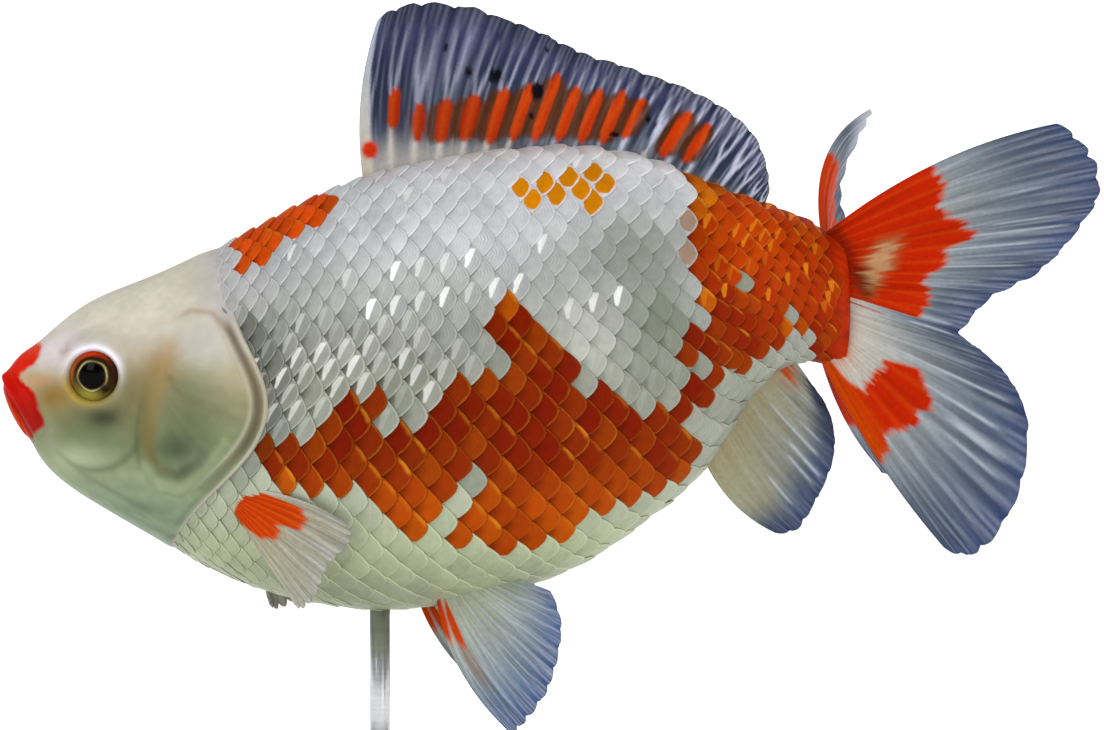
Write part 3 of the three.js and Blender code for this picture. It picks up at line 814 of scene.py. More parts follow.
def mouth_relief(x, z):
    """Lips, the closed gape between them and the fold behind them."""
    beyond = beyond_gape(x, z)
    open_part = smooth(z, GAPE["corner_z"] - 0.6, GAPE["corner_z"] + 0.8) * smooth_down(x, -49.0, -50.2)
    fold_part = smooth(z, -7, -5.5) * smooth_down(z, 6.5, 4.5)
    relief = -0.24 * hump(beyond, 0, 0.22) * open_part
    relief += 0.14 * (hump(beyond, 0.8, 0.5) + hump(beyond, -0.8, 0.5)) * open_part
    relief -= 0.22 * hump(x - lip_x(z), 0, 0.35) * fold_part
    relief += 0.45 * dot(x, z, (-53.0, 6.6), 2.4)
    return relief


LIP_SPLINE = Spline([z for _, z in LIP_EDGE], [[x] for x, _ in LIP_EDGE])


def around_eye(points, sign):
    """An eye's line of sight, and each point's height along it, distance from it and angle round it."""
    axis = np.array([-math.sin(EYE["look_forward"]), sign * math.cos(EYE["look_forward"]), 0])
    offset = points - [EYE["x"], sign * EYE["y"], EYE["z"]]
    height = offset @ axis
    across = offset - height[..., None] * axis
    return axis, height, np.linalg.norm(across, axis=-1), np.arctan2(across[..., 2], across[..., 0])


# Heights along an eye's line of sight: the skin under the ball, and the lid's rim round it.
UNDER_EYE = 1.0
LID_HEIGHT = 2.75


def eye_socket(points):
    """Pushes the skin round each eye into a lid that hugs the ball, and under the ball itself."""
    for sign in SIDES.values():
        axis, height, radial, angle = around_eye(points, sign)
        lid_height = LID_HEIGHT + 0.35 * hump(angle, 1.1, 0.9) + 0.25 * np.clip(height, -3, 0)
        target = UNDER_EYE + (lid_height - UNDER_EYE) * smooth(radial, 2.95, 4.2)
        share = smooth_down(radial, 7.6, 4.2) * smooth(height, -9, -7)
        points = points + (share * (target - height))[..., None] * axis
    return points


def head_ground(x, z, points, side_on):
    """The head's broad colours, and the fine mottling that they share with the skin behind."""
    base = blend_stops(z, [
        (-26, (140, 154, 128)), (-17, (124, 142, 114)), (-10, (132, 145, 114)), (-5, (118, 128, 94)),
        (0, (140, 136, 102)), (4, (170, 162, 132)), (8, (198, 190, 172)), (13, (210, 203, 188)),
        (24, (204, 197, 181)),
    ])
    mottle = 0.06 * cloud(points, 2.6, 3) + 0.07 * cloud(points, 0.9, 5)
    streaky = cloud(points * [0.5, 1, 1.6] + points[..., [2, 1, 0]] * [0.4, 0, 0.4], 0.8, 9)
    mottle = (1 + (mottle + 0.10 * streaky * smooth_down(z, -8, -14) * side_on))[..., None]
    return paint_areas(base * mottle, x, z, HEAD_AREAS, side_on), mottle


def cheek_tone(base, x, z, side_on):
    """The cheek's lower edge and the creases under it, darkened with painted shade, and the groove
    behind it, tan above and painted shadow at its dark lower end under the gill cover.
    """
    low_edge = hump(oval(x, z, CHEEK), 1.08, 0.08) * smooth_down(z, 2, -3) * smooth(x, -47, -42)
    groove, place = line_distance(x, z, PREOPERCLE)
    groove_colour = blend_stops(place, [
        (0, (168, 144, 98)), (0.3, (128, 106, 54)), (0.5, (98, 94, 52)), (0.75, (62, 76, 52)),
        (1, (112, 122, 94)),
    ])
    # Painted shade along the cheek's lower edge; the groove's dark lower end is painted shadow.
    base = coat(base, [
        (0.55 * low_edge * side_on, (84, 98, 70)),
        ((0.6 + 0.2 * place) * hump(groove, 0, 1.35 - 0.5 * place) * side_on, groove_colour),
    ])
    # Creases, darkened with painted shade.
    for half_width, strength, colour, line in HEAD_CREASES:
        crease, place = line_distance(x, z, line)
        fading = np.sin(math.pi * np.clip(0.15 + 0.7 * place, 0, 1))
        base = paint(base, strength * fading * hump(crease, 0, half_width) * side_on, tone(*colour))
    return base


def cover_tone(base, x, z, to_gill, side_on, mottle):
    """The gill cover: its fine rays, its rim and the shadowed line ahead of the rim, with a painted
    highlight at its upper corner and painted shade in the throat crease.
    """
    # A pale lilac patch at the cover's upper corner by its edge: a painted highlight.
    corner_highlight = smooth_down(to_gill, 5.0, 0.3) * smooth(z, COVER_TOP - 3.5, COVER_TOP + 1.5) * side_on
    base = coat(base, [
        (0.75 * corner_highlight, tone(180, 177, 180) * mottle),
        (0.35 * stroke(x, z, CHEEK_FOOT, 0.6) * side_on, (150, 160, 122)),
    ])
    around = np.arctan2(z - 4, x + 33)
    rays = flat_cloud(around * 16, 0 * x, 6) * smooth(x, -31, -28) * smooth_down(to_gill, 2.5, 4)
    base = base * (1 + 0.07 * rays * smooth_down(z, 9, 6) * smooth(z, -12, -8) * side_on)[..., None]
    freckle, fading = line_distance(x, z, COVER_FRECKLE)
    shoulder, rising = line_distance(x, z, COVER_SHOULDER)
    in_cover = smooth(z, -20, -15) * smooth_down(z, 13, 10) * smooth(x, -32, -30) * side_on
    band = in_cover * smooth(z, -15, -5)
    return coat(base, [
        (0.5 * hump(freckle, 0, 0.5) * (1 - 0.7 * fading) * side_on, (112, 92, 58)),
        (0.86 * hump(to_gill, 1.25, 0.8) * band, (90, 78, 62)),
        (0.5 * hump(to_gill, 2.4, 0.3) * band, (192, 186, 170)),
        (0.4 * hump(to_gill, 1.0, 0.3) * (in_cover - band), (96, 98, 78)),
        (0.8 * hump(to_gill, 0.1, 0.22) * cover_edge_share(z) * side_on, (196, 190, 174)),
        (0.5 * hump(shoulder, 0, 0.5) * smooth(rising, 0, 0.4) * side_on, (150, 124, 94)),
        # Painted shade in the throat crease.
        (0.6 * stroke(x, z, THROAT_CREASE, 0.45) * side_on, (92, 100, 84)),
    ])


def mouth_tone(base, x, y, z, points):
    """The nostrils, the red mouth and its gape, darkened as painted shade."""
    red = smooth_down(x - lip_x(z) + 0.25 * cloud(points, 0.9, 7), 0.35, -0.35)
    red = red * smooth(z + 0.5 - 0.04 * y**2, -6.3, -5.4)
    red = red * smooth_down(z, 9.2, 8.2)
    red_colour = blend_stops(z, [
        (-6, (142, 16, 0)), (-2, (150, 8, 0)), (3, (190, 14, 1)), (6, (212, 36, 12)), (8.5, (220, 70, 44)),
    ])
    beyond = beyond_gape(x, z)
    # The closed gape, darkened as painted shade.
    gape = 0.3 * hump(beyond, 0, 0.16) * red * smooth(z, -5.8, -5) * smooth_down(z, 3.5, 2)
    return coat(base, [
        (0.5 * dot(x, z, NOSTRIL, 1.0), (166, 126, 110)),
        (red, red_colour),
        (0.8 * red * hump(beyond, -1.2, 0.8) * smooth_down(z, 2.4, 0.8), (206, 74, 6)),
        (gape, (96, 8, 3)),
    ])


def head_tone(x, y, z, to_gill, points):
    """Colours of the bare head, with painted light and shade among them."""
    side_on = smooth(np.abs(y), 1.0, 5.0)
    base, mottle = head_ground(x, z, points, side_on)
    base = cheek_tone(base, x, z, side_on)
    base = cover_tone(base, x, z, to_gill, side_on, mottle)
    base = mouth_tone(base, x, y, z, points)
    for sign in SIDES.values():
        _, height, radial, angle = around_eye(points, sign)
        same = height > -8
        # A pale arc over each eye's upper rim: a painted highlight.
        brow = np.clip(1.5 * hump(angle, 1.3, 1.05), 0, 1) * hump(radial, 4.15, 0.66) * same
        gold = hump(radial, 3.9, 0.6) * hump(angle, -2.0, 1.2) * same
        base = coat(base, [
            (0.98 * brow, (232, 231, 244)),
            (0.8 * gold, (176, 150, 58)),
            (smooth_down(radial, 3.55, 3.3) * same, (30, 20, 12)),
        ])
    return base


def skin_map(rings, steps):
    """Map places of the skin's faces: across the map from nose to tail, and up it round the body."""
    turn = np.arange(steps)
    row, column = np.meshgrid(np.arange(rings - 1), turn, indexing="ij")
    down = np.stack([row + 1, row + 1, row + 2, row + 2], -1) / (rings + 1)
    across = np.stack([column, column + 1, column + 1, column], -1) / steps
    nose_rows = np.array([0.2, 1, 1]) / (rings + 1) + np.zeros((steps, 1))
    nose_turns = np.stack([turn + 0.5, turn + 1, turn], -1) / steps
    tail_rows = np.array([rings + 0.8, rings, rings]) / (rings + 1) + np.zeros((steps, 1))
    tail_turns = np.stack([turn + 0.5, turn, turn + 1], -1) / steps
    return [
        np.stack([down, across], -1).reshape(-1, 4, 2),
        np.stack([nose_rows, nose_turns], -1),
        np.stack([tail_rows, tail_turns], -1),
    ]


def skin_heights(x, z, side_on, to_gill, behind, on_head):
    """Height of the skin over the plain surface: the head's forms, the cover's free rear edge, and
    behind the head the bed that the scales lie in."""
    free_edge = cover_edge_share(z)
    lift = head_relief(x, z, to_gill) * side_on + mouth_relief(x, z)
    lift += (0.12 * free_edge - 0.25 * free_edge * hump(to_gill, 0, 0.15)) * hump(to_gill, 0, 2.0)
    depth = COAT_DEPTH * scale_size(x)
    nape_dip = -depth * smooth(behind, -NAPE_REACH, 0.6)
    step = -UNDERCUT + (UNDERCUT - depth) * smooth(behind, 0.4, 3.0)
    sunk = free_edge * step + (1 - free_edge) * nape_dip
    return np.where(on_head, lift + (1 - free_edge) * nape_dip, sunk)


def skin_piece():
    """One closed skin from the lips to the tail root, in rings that follow the gill line."""
    angle = full_turn(ROUND_STEPS)
    edge = gill_along(angle)
    head_share = (np.arange(1, HEAD_RINGS + 1) / HEAD_RINGS)[:, None]
    tail_share = (np.arange(1, BODY_RINGS) / BODY_RINGS)[:, None]
    tail_share = tail_share * (0.25 + 0.75 * tail_share)
    along = np.concatenate([edge * head_share, edge + (1 - edge) * tail_share])
    angles = np.broadcast_to(angle, along.shape)
    plain = body_point(along, angles)
    normal, _ = body_frame(np.clip(along, ALONG_STEP, 1 - ALONG_STEP), angles)
    x, y, z = np.moveaxis(plain, -1, 0)
    slope = gill_x(z + 0.5) - gill_x(z - 0.5)
    to_gill = (gill_x(z) - x) / np.sqrt(1 + slope**2)
    side_on = smooth(np.abs(y), 1.0, 4.5)
    on_head = np.arange(len(along))[:, None] < HEAD_RINGS
    behind = (along - edge) * LENGTH_PER_ALONG
    heights = skin_heights(x, z, side_on, to_gill, behind, on_head)
    points = plain + heights[..., None] * normal
    points[:HEAD_RINGS] = eye_socket(points[:HEAD_RINGS])
    head, body = head_tone(x, y, z, to_gill, plain), body_tone(x, y, z, behind)
    colours = np.where(on_head[..., None], head, body)
    corners = np.concatenate([points.reshape(-1, 3), body_point(np.array([0.0, 1.0]), np.zeros(2))])
    tints = np.concatenate([colours.reshape(-1, 3), colours[[0, -1], 0]])
    return make_mesh("skin_piece", corners, capped_faces(*along.shape), skin_map(*along.shape), tints)


def body_tone(x, y, z, behind):
    """Skin under the scales, with the same markings."""
    base = flank_tone(x, z) * 0.55
    grooved = tone(178, 44, 5) * (1 + 0.45 * flat_cloud(0.25 * x, 1.5 * z - 0.8 * x, 15))[..., None]
    for side, sign in SIDES.items():
        here = (y - sway(x)) * sign >= 0
        share = smooth(patch_share(x, z, side), 0.35, 0.65) * here
        base = coat(base, [
            (share, RED_ORANGE * (0.6 + 0.7 * smooth(x, 62, 68))[..., None]),
            (share * smooth(x, 66.5, 69.5), grooved),
        ])
    nape = smooth_down(behind, 4.5, 0.5) * smooth(z, COVER_TOP - 2, COVER_TOP + 3)
    return paint(base, nape, NAPE_TONE)


# ---- Scales ----
# Length of a scale's exposed part, and the height of two rows; then how much both grow, and where.
SCALE_PITCH = 3.5
SCALE_RISE = 5.4
BROAD = {"length": 0.24, "height": 0.02, "x": 12.0, "width": 30.0}
# A scale's plate: distances in from its edge, its half width and the power that shapes its point,
# then how it falls inwards and to its sides, and the thickness of its edge.
PLATE_ROWS = [1.35, 1.02, 0.76, 0.54, 0.35, 0.20, 0.09, 0.03, 0.0]
PLATE_COLUMNS = 9
PLATE_HALF = 1.18
PLATE_POINT = 1.65
PLATE_FALL = 0.5
PLATE_SAG = 0.30
PLATE_EDGE = 0.15
# The lattice of the scales: half rows and half columns to each side of its middle, the stations
# along the body and the steps round it, and where the scales start and end along the body.
HALF_ROWS = 22
HALF_COLUMNS = 40
STATION_COUNT = 300
GIRTH_STEPS = 400
FLANK_ANGLE = 1.6
SCALE_START = 0.16
TAIL_END = 0.951
LAST_SCALE = 0.957
STEM_MIDDLE = 13.5
RIDGE_ROOM = 0.35
# Width and height of a scale's patch on the map, per millimetre of the scale.
PATCH_SIZE = (0.0021, 0.0030)
SCALE_SEEDS = {"left": 4, "right": 5}


def scale_size(x):
    """Size of the scales: smaller at the nape and on the tail stem."""
    return (1 - 0.36 * smooth(x, 38, 64)) * (0.80 + 0.20 * smooth(x, -24, -4))


def broadening(x, row):
    """How far the scales grow on the lower flank, row rows below its middle: 0 to 1."""
    low = smooth(row, -2.5, 2.0) * (1 - 0.5 * smooth(row, 4, 8))
    return low * hump(x, BROAD["x"], BROAD["width"])


def plate_mesh():
    """One scale at full size in millimetres: it points along +X, and its exposed part is centred
    on the origin."""
    inward, share = np.meshgrid(PLATE_ROWS, np.linspace(-1, 1, PLATE_COLUMNS), indexing="ij")
    side = share * PLATE_HALF
    rear = SCALE_PITCH / 2 * (1 - np.abs(side) ** PLATE_POINT)
    x = rear - inward * SCALE_PITCH
    z = -0.03 - PLATE_SAG * side**2 - PLATE_FALL * inward**1.4
    z = z - PLATE_EDGE * (inward < 0.01) - 0.1 * (np.abs(share) > 0.99)
    points = np.stack([x, side * SCALE_RISE / 2, z], -1).reshape(-1, 3)
    rows, columns = inward.shape
    number = np.arange(rows * columns).reshape(rows, columns)
    rim = np.concatenate([number[0, :], number[1:, -1], number[-1, -2::-1], number[-2:0:-1, 0]])
    mesh = bpy.data.meshes.new("plate")
    mesh.from_pydata(points, [], grid_faces(rows, columns).tolist() + [rim[::-1].tolist()])
    store(mesh, "FLOAT", {"inward": inward, "across": side, "fore": x / (SCALE_PITCH / 2)})
    mesh.update()
    return mesh


def girth(along, sign):
    """Angles down one side of the body, and the distance down from the back line at each."""
    angle = np.linspace(0, math.pi, GIRTH_STEPS)
    ring = body_point(np.full(angle.shape, along), angle * sign)
    steps = np.linalg.norm(np.diff(ring, axis=0), axis=-1)
    return angle, np.concatenate([[0], np.cumsum(steps)])


# Points around a scale: half rows down and counts back from its middle, which comes first.
AROUND = [(0, 0), (0, 0.5), (0, -0.5), (-1, 0), (1, 0), (-1, 0.5), (-1, -0.5), (1, 0.5), (1, -0.5)]


class Rows:
    """The lattice of one side's scales. Rows run with the body at their own distance down from
    its middle, each half a scale on from the next, and are counted off in scale lengths."""

    def __init__(self, sign):
        self.alongs = np.linspace(SCALE_START, TAIL_END + 0.02, STATION_COUNT)
        self.x = body_point(self.alongs, np.full(self.alongs.shape, sign * FLANK_ANGLE))[:, 0]
        size = scale_size(self.x)
        self.half_rows = np.arange(-HALF_ROWS, HALF_ROWS + 1)
        growth = np.array([broadening(self.x, row) for row in self.half_rows / 2])
        self.lengths = size * (1 + BROAD["length"] * growth)
        self.heights = size * (1 + BROAD["height"] * growth)
        steps = SCALE_RISE / 4 * (self.heights[1:] + self.heights[:-1])
        downs = np.concatenate([np.zeros((1, len(self.x))), np.cumsum(steps, axis=0)])
        self.girths = [girth(along, sign) for along in self.alongs]
        self.totals = np.array([distance[-1] for _, distance in self.girths])
        self.downs = downs - downs[HALF_ROWS] + self.totals / 2
        counts = np.cumsum(np.gradient(self.x) / (SCALE_PITCH * self.lengths), axis=1)
        middle = [np.interp(BROAD["x"], self.x, line) for line in counts]
        self.counts = counts - np.array(middle)[:, None]

    def station(self, i, count):
        """Where a count falls in half row i, in steps of the stations along the body."""
        return float(np.interp(count, self.counts[i], np.arange(len(self.alongs))))

    def along(self, at):
        return float(np.interp(at, np.arange(len(self.alongs)), self.alongs))

    def place(self, i, count):
        """The place along the body and the angle at a count of half row i."""
        at = self.station(i, count)
        fore = min(int(at), len(self.alongs) - 2)
        near = [(self.downs[i, j], *self.girths[j][::-1]) for j in (fore, fore + 1)]
        turns = [np.interp(down, distances, angles) for down, distances, angles in near]
        return self.along(at), turns[0] + (turns[1] - turns[0]) * (at - fore)


def scale_places(side):
    """Where one side's scales sit: for each, the places of its middle and of the points around it,
    its length and height, and its share of the way down."""
    rows = Rows(SIDES[side])
    steps = np.arange(len(rows.alongs))
    found = []
    for i in range(1, len(rows.half_rows) - 1):
        lines = (rows.lengths[i], rows.heights[i], rows.downs[i], rows.totals)
        for column in range(-HALF_COLUMNS, HALF_COLUMNS + 1):
            count = column / 2
            if (column - rows.half_rows[i]) % 2 or not rows.counts[i, 0] < count < rows.counts[i, -1]:
                continue
            at = rows.station(i, count)
            length, height, down, total = (float(np.interp(at, steps, line)) for line in lines)
            room = RIDGE_ROOM * SCALE_RISE * height
            if room < down < total - room:
                around = [rows.place(i + row, count + step) for row, step in AROUND]
                found.append([*np.ravel(around), length, height, down / total])
    found = np.array(found)
    places = found[:, :-3].reshape(-1, len(AROUND), 2)
    apex = body_point(places[:, 1, 0], SIDES[side] * places[:, 1, 1])
    open_nape = 1 - cover_edge_share(apex[:, 2])
    behind_gill = apex[:, 0] > gill_x(apex[:, 2]) + 0.3 - NAPE_REACH * open_nape
    last = LAST_SCALE - 0.020 * smooth(np.abs(apex[:, 2] - STEM_MIDDLE), 3, 9)
    kept = behind_gill & (places[:, 1, 0] < last)
    return places[kept], found[kept, -3:].T


def nearest(x, z, marks):
    """Which scales lie nearest to the marks."""
    chosen = np.zeros(len(x), bool)
    for mark_x, mark_z in marks:
        chosen[np.argmin(np.hypot(x - mark_x, z - mark_z))] = True
    return chosen


def spot_ends(x, z, orange):
    """Orange scales whose spot is round at its top, and those at its foot: the ones that have pale
    neighbours both ahead and behind on that side."""
    step_x, step_z = x - x[:, None], z - z[:, None]
    near = (oval(step_x, step_z, (0, 0, 3.0, 4.6)) < 1) & ~orange
    ahead, behind = near & (step_x < -0.2), near & (step_x > 0.2)
    return [
        orange & (ahead & beyond).any(axis=1) & (behind & beyond).any(axis=1)
        for beyond in (step_z > 0.8, step_z < -0.8)]


def hot_scales(x, z, warm, golden):
    """Colours of the orange scales: red on the flank, golden at the belly, nape and stem."""
    return coat(RED_ORANGE * (0.74 + 0.14 * smooth(x, 2, 26))[:, None], [
        (smooth_down(z, -6, -16), (170, 68, 3)),
        (smooth(x, 45, 58) * smooth(z, 4, 16), (160, 42, 2)),
        (0.8 * hump(x, 54, 9) * smooth(z, 14, 22), (196, 66, 6)),
        (ellipse(x, z, (47.9, 31.0, 2.5, 2.3), 0.4), (204, 112, 6)),
        (smooth_down(x, -4, -10) * smooth(z, 12, 18), (222, 76, 8)),
        (0.40 * np.clip(warm, 0, 1), (160, 74, 4)),
        (0.40 * np.clip(-warm, 0, 1), (112, 12, 0)),
        (golden, (186, 92, 4)),
    ])


def scale_colours(x, z, side, chance):
    """Colours of each scale: its middle, its front darkened as painted shade, its rim lightened in part
    as a painted highlight, its spot, its painted glints, and how strong each is.
    """
    count = len(x)
    share = patch_share(x, z, side) + 0.10 * chance.uniform(-1, 1, count)
    single = nearest(x, z, PALE_SCALES[side])
    orange = (share > 0.5) & ~single
    rusty = nearest(x, z, RUSTY_SCALES[side]) & ~orange
    amber = (ellipse(x, z, AMBER, 0.05) > 0.5) & ~orange & (side == "left")
    plain = ~orange & ~amber
    round_top, round_foot = spot_ends(x, z, orange)
    warm = chance.uniform(-1, 1, count)
    streaky = flat_cloud(x / 9, z / 2.2, 2) * hump(z, 10, 13)
    flank = flank_tone(x, z) * (1 + 0.07 * chance.uniform(-1, 1, count) + 0.16 * streaky)[:, None]
    olive = smooth(flat_cloud(x / 7, z / 7, 8), -0.1, 0.7) * hump(z, 7, 12)
    flank = coat(flank, [(0.5 * olive, (112, 118, 98)), (0.8 * single, (132, 136, 122))])
    # banded: the mid-flank band where each scale's painted shade and painted highlights are strongest; the
    # flank there is a little darker too.
    banded = hump(z, 4, 9.5) * (1 - 0.75 * smooth(x, 4, 20))
    flank = flank * (1 - 0.13 * banded)[:, None]
    edge_scale = smooth_down(share, 0.98, 0.6)
    golden = np.maximum(smooth_down(z, -8, -12), smooth(x, 12, 18) * smooth(z, 8, 12))
    golden = edge_scale * (0.2 + 0.8 * golden) * (0.25 + 0.55 * chance.random(count))
    hot = hot_scales(x, z, warm, golden)
    pairs = {
        "middle": (hot, flank),
        # front: darker as painted shade where the scale slips under the row ahead.
        "front": (
            paint(hot, 0.7, tone(86, 14, 0)),
            flank * (0.90 - 0.66 * banded)[:, None] * [0.98, 1.0, 0.94]),
        # rim: the thin pale edge, lightened in part as a painted highlight, golden on orange scales.
        "rim": (
            paint(hot, 0.35 + 0.45 * chance.random(count), tone(206, 132, 30)),
            np.minimum(flank * (1.28 + 0.60 * banded)[:, None], 0.84)),
        "bare": (flank, flank),
        # flash: the colour of the painted glints, white or golden.
        "flash": (tone(232, 140, 26), [0.90, 0.90, 0.87]),
    }
    colours = {key: np.where(orange[:, None], *pair) for key, pair in pairs.items()}
    spot = np.where(rusty[:, None], tone(162, 136, 116), tone(200, 122, 3)) * (1 + 0.10 * warm)[:, None]
    for key in ("middle", "front"):
        colours[key] = np.where((amber | rusty)[:, None], spot, colours[key])
    gap = x - gill_x(z)
    # Painted shadow of the gill cover's free edge on the scales just behind it.
    shaded = 1 - 0.45 * (0.3 + 0.7 * smooth(z, -14, -5)) * smooth_down(gap, 4.2, 1.0) * cover_edge_share(z)
    nape = smooth_down(gap, 8, 1.5) * smooth(z, COVER_TOP - 1, COVER_TOP + 4) * ~orange
    for key in ("middle", "front", "rim"):
        colours[key] = paint(colours[key] * shaded[:, None], 0.8 * nape, NAPE_SCALES[key])
    colours["bare"] = colours["bare"] * shaded[:, None]
    # Glints, faint glints and golden glints are painted highlights on single scales.
    row_gap = np.min([line_distance(x, z, line)[0] for line in GLINT_ROWS], axis=0)
    glint_chance = (0.03 + 0.66 * smooth_down(row_gap, 1.9, 0.9)) * smooth(z, 3, 8) * smooth_down(x, 40, 34)
    glint = plain & (chance.random(count) < glint_chance * smooth(gap, 6, 10))
    faint = plain & (chance.random(count) < 0.75)
    golden_glint = orange * (chance.random(count) < 0.36 * smooth(x, 46, 52) * smooth(z, 12, 17))
    # Crescents on orange scales are painted highlights.
    crescent_chance = 0.3 + 0.15 * smooth(x, 44, 50) * smooth(z, 12, 18)
    strengths = {
        "spot_x": np.where(orange, 0.62, 1.34 + 0.14 * warm),
        "spot_y": np.where(orange, 1.18, 1.32 + 0.14 * warm[::-1]),
        "round_top": round_top | amber | rusty,
        "round_foot": round_foot | amber | rusty,
        "thin": np.where(orange, 0.2 + 0.4 * chance.random(count) ** 2, 0.85),
        "crescent": orange * (chance.random(count) < crescent_chance) * chance.uniform(0.3, 0.95, count),
        "glint": np.maximum.reduce([
            glint * chance.uniform(0.3, 0.95, count), faint * banded**1.5 * chance.uniform(0.1, 0.65, count),
            golden_glint * chance.uniform(0.15, 0.65, count)]),
        "shine": np.where(orange | amber, 0.04, chance.uniform(0.08, 0.28, count) * (1 - nape)),
    }
    return colours, strengths


def scale_bends(reach, axes):
    """How the body falls away under a scale, fitted to the points around it: the bow along the
    scale, the curl across it and the twist between them."""
    far, wide, rise = (np.sum(reach * axis[:, None], -1) for axis in axes)
    terms = np.stack([far**2 / 2, wide**2 / 2, far * wide], -1)
    weighed = np.swapaxes(terms, 1, 2)
    fitted = np.linalg.solve(weighed @ terms + 0.05 * np.eye(3), weighed @ -rise[..., None])
    return fitted[..., 0].T


def scale_roots(side, chance):
    """A loose point for each scale, with the attributes that the scale tree reads."""
    sign = SIDES[side]
    places, (length, height, down) = scale_places(side)
    points = body_point(places[..., 0], sign * places[..., 1])
    centre, ahead, behind, above, below = (points[:, i] for i in range(5))
    x, z = centre[:, 0], centre[:, 2]
    along, angle = places[:, 0, 0], sign * places[:, 0, 1]
    up, _ = body_frame(along, angle)
    rearward = np.stack([1 + 0 * along, 0 * along, -0.10 * smooth_down(z, 12, -6)], -1)
    back = unit(rearward - np.sum(rearward * up, -1)[:, None] * up)
    aside = np.cross(up, back)
    column = below - above
    over = np.sum(column * aside, -1)
    lean = np.sum(column * back, -1) / over
    spacing = np.linalg.norm(ahead - behind, axis=-1) / SCALE_PITCH
    length = np.clip(spacing, 0.9 * length, 1.25 * length)
    height = np.clip(np.abs(over) / SCALE_RISE, 0.8 * height, 1.15 * height)
    bow, curl, twist = scale_bends(points[:, 1:] - centre[:, None], (back, aside, up))
    count = len(along)
    colours, strengths = scale_colours(x, z, side, chance)
    back = unit(back + chance.uniform(-0.045, 0.045, (count, 3)))
    up = unit(up + chance.uniform(-0.025, 0.025, (count, 3)))
    flat = (1 - 0.3 * smooth_down(z, -16, -26)) * (1 - 0.4 * smooth(down, 0.72, 0.9))
    over_nape = smooth_down(x - gill_x(z), 3.5, -2.5) * (1 - cover_edge_share(z))
    centre = centre - (0.28 * over_nape)[:, None] * up
    mesh = bpy.data.meshes.new("roots")
    mesh.from_pydata((centre + [0, 0, AXIS_HEIGHT]) * MM, [], [])
    store(mesh, "FLOAT_VECTOR", {
        "up": up,
        "back": back,
        "unwrap": np.stack([0.01 + 0.98 * along, 0.01 + 0.98 * down, np.zeros(count)], -1),
        "stretch": np.stack([length, height, length * flat], -1) * MM,
    })
    store(mesh, "FLOAT_COLOR", {key: opaque(rows) for key, rows in colours.items()})
    store(mesh, "FLOAT", strengths)
    bends = {"curl": curl / MM, "bow": bow / MM, "twist": twist / MM, "lean": lean}
    store(mesh, "FLOAT", {"hand": np.full(count, -sign), **bends})
    return mesh


def scale_tree(plate, material):
    """Sets a plate on every root, turned to lie back along the body and bent to its surface."""
    group = bpy.data.node_groups.new("scale_cover", "GeometryNodeTree")
    group.interface.new_socket("Geometry", in_out="INPUT", socket_type="NodeSocketGeometry")
    thickness = group.interface.new_socket("Relief", in_out="INPUT", socket_type="NodeSocketFloat")
    thickness.default_value = 1.0
    group.interface.new_socket("Geometry", in_out="OUTPUT", socket_type="NodeSocketGeometry")
    tree = Tree(group)

    def named(name, kind="FLOAT_VECTOR"):
        return tree.node("GeometryNodeInputNamedAttribute", {"data_type": kind}, {"Name": name}, "Attribute")

    def vector(operation, inputs):
        return tree.node("ShaderNodeVectorMath", {"operation": operation}, inputs)

    relief = tree.node("NodeGroupInput", {}, {}, "Relief")
    relief = tree.node("ShaderNodeCombineXYZ", {}, {0: 1.0, 1: 1.0, 2: relief})
    stored = tree.node("GeometryNodeStoreNamedAttribute", {"data_type": "FLOAT_VECTOR", "domain": "POINT"}, {
        "Geometry": tree.node("GeometryNodeObjectInfo", {}, {"Object": plate}, "Geometry"),
        "Name": "local", "Value": tree.node("GeometryNodeInputPosition", {}, {})})
    spread = tree.node("GeometryNodeInstanceOnPoints", {}, {
        "Points": tree.node("NodeGroupInput", {}, {}, "Geometry"),
        "Instance": stored,
        "Rotation": tree.node("FunctionNodeAxesToRotation", {"primary_axis": "Z", "secondary_axis": "X"}, {
            "Primary Axis": named("up"), "Secondary Axis": named("back")}),
        "Scale": vector("MULTIPLY", {0: named("stretch"), 1: relief})})
    solid = tree.node("GeometryNodeRealizeInstances", {}, {"Geometry": spread})
    reach = vector("MULTIPLY", {0: named("local"), 1: named("stretch")})
    fore, wide = (tree.node("ShaderNodeSeparateXYZ", {}, {0: reach}, axis) for axis in "XY")
    slant = wide * named("lean", "FLOAT")
    far = fore + slant
    bend = 0.0
    curves = ((wide, wide, "curl", -0.5), (far, far, "bow", -0.5), (far, wide, "twist", -1.0))
    for first, second, curve, share in curves:
        bend = first * second * share * named(curve, "FLOAT") + bend
    drop = vector("SCALE", {0: named("up"), "Scale": bend})
    slide = vector("SCALE", {0: named("back"), "Scale": slant})
    offset = vector("ADD", {0: drop, 1: slide})
    bent = tree.node("GeometryNodeSetPosition", {}, {"Geometry": solid, "Offset": offset})
    coated = tree.node("GeometryNodeSetMaterial", {}, {"Geometry": bent, "Material": material})
    tree.node("NodeGroupOutput", {}, {0: coated}, None)
    return group, thickness.identifier


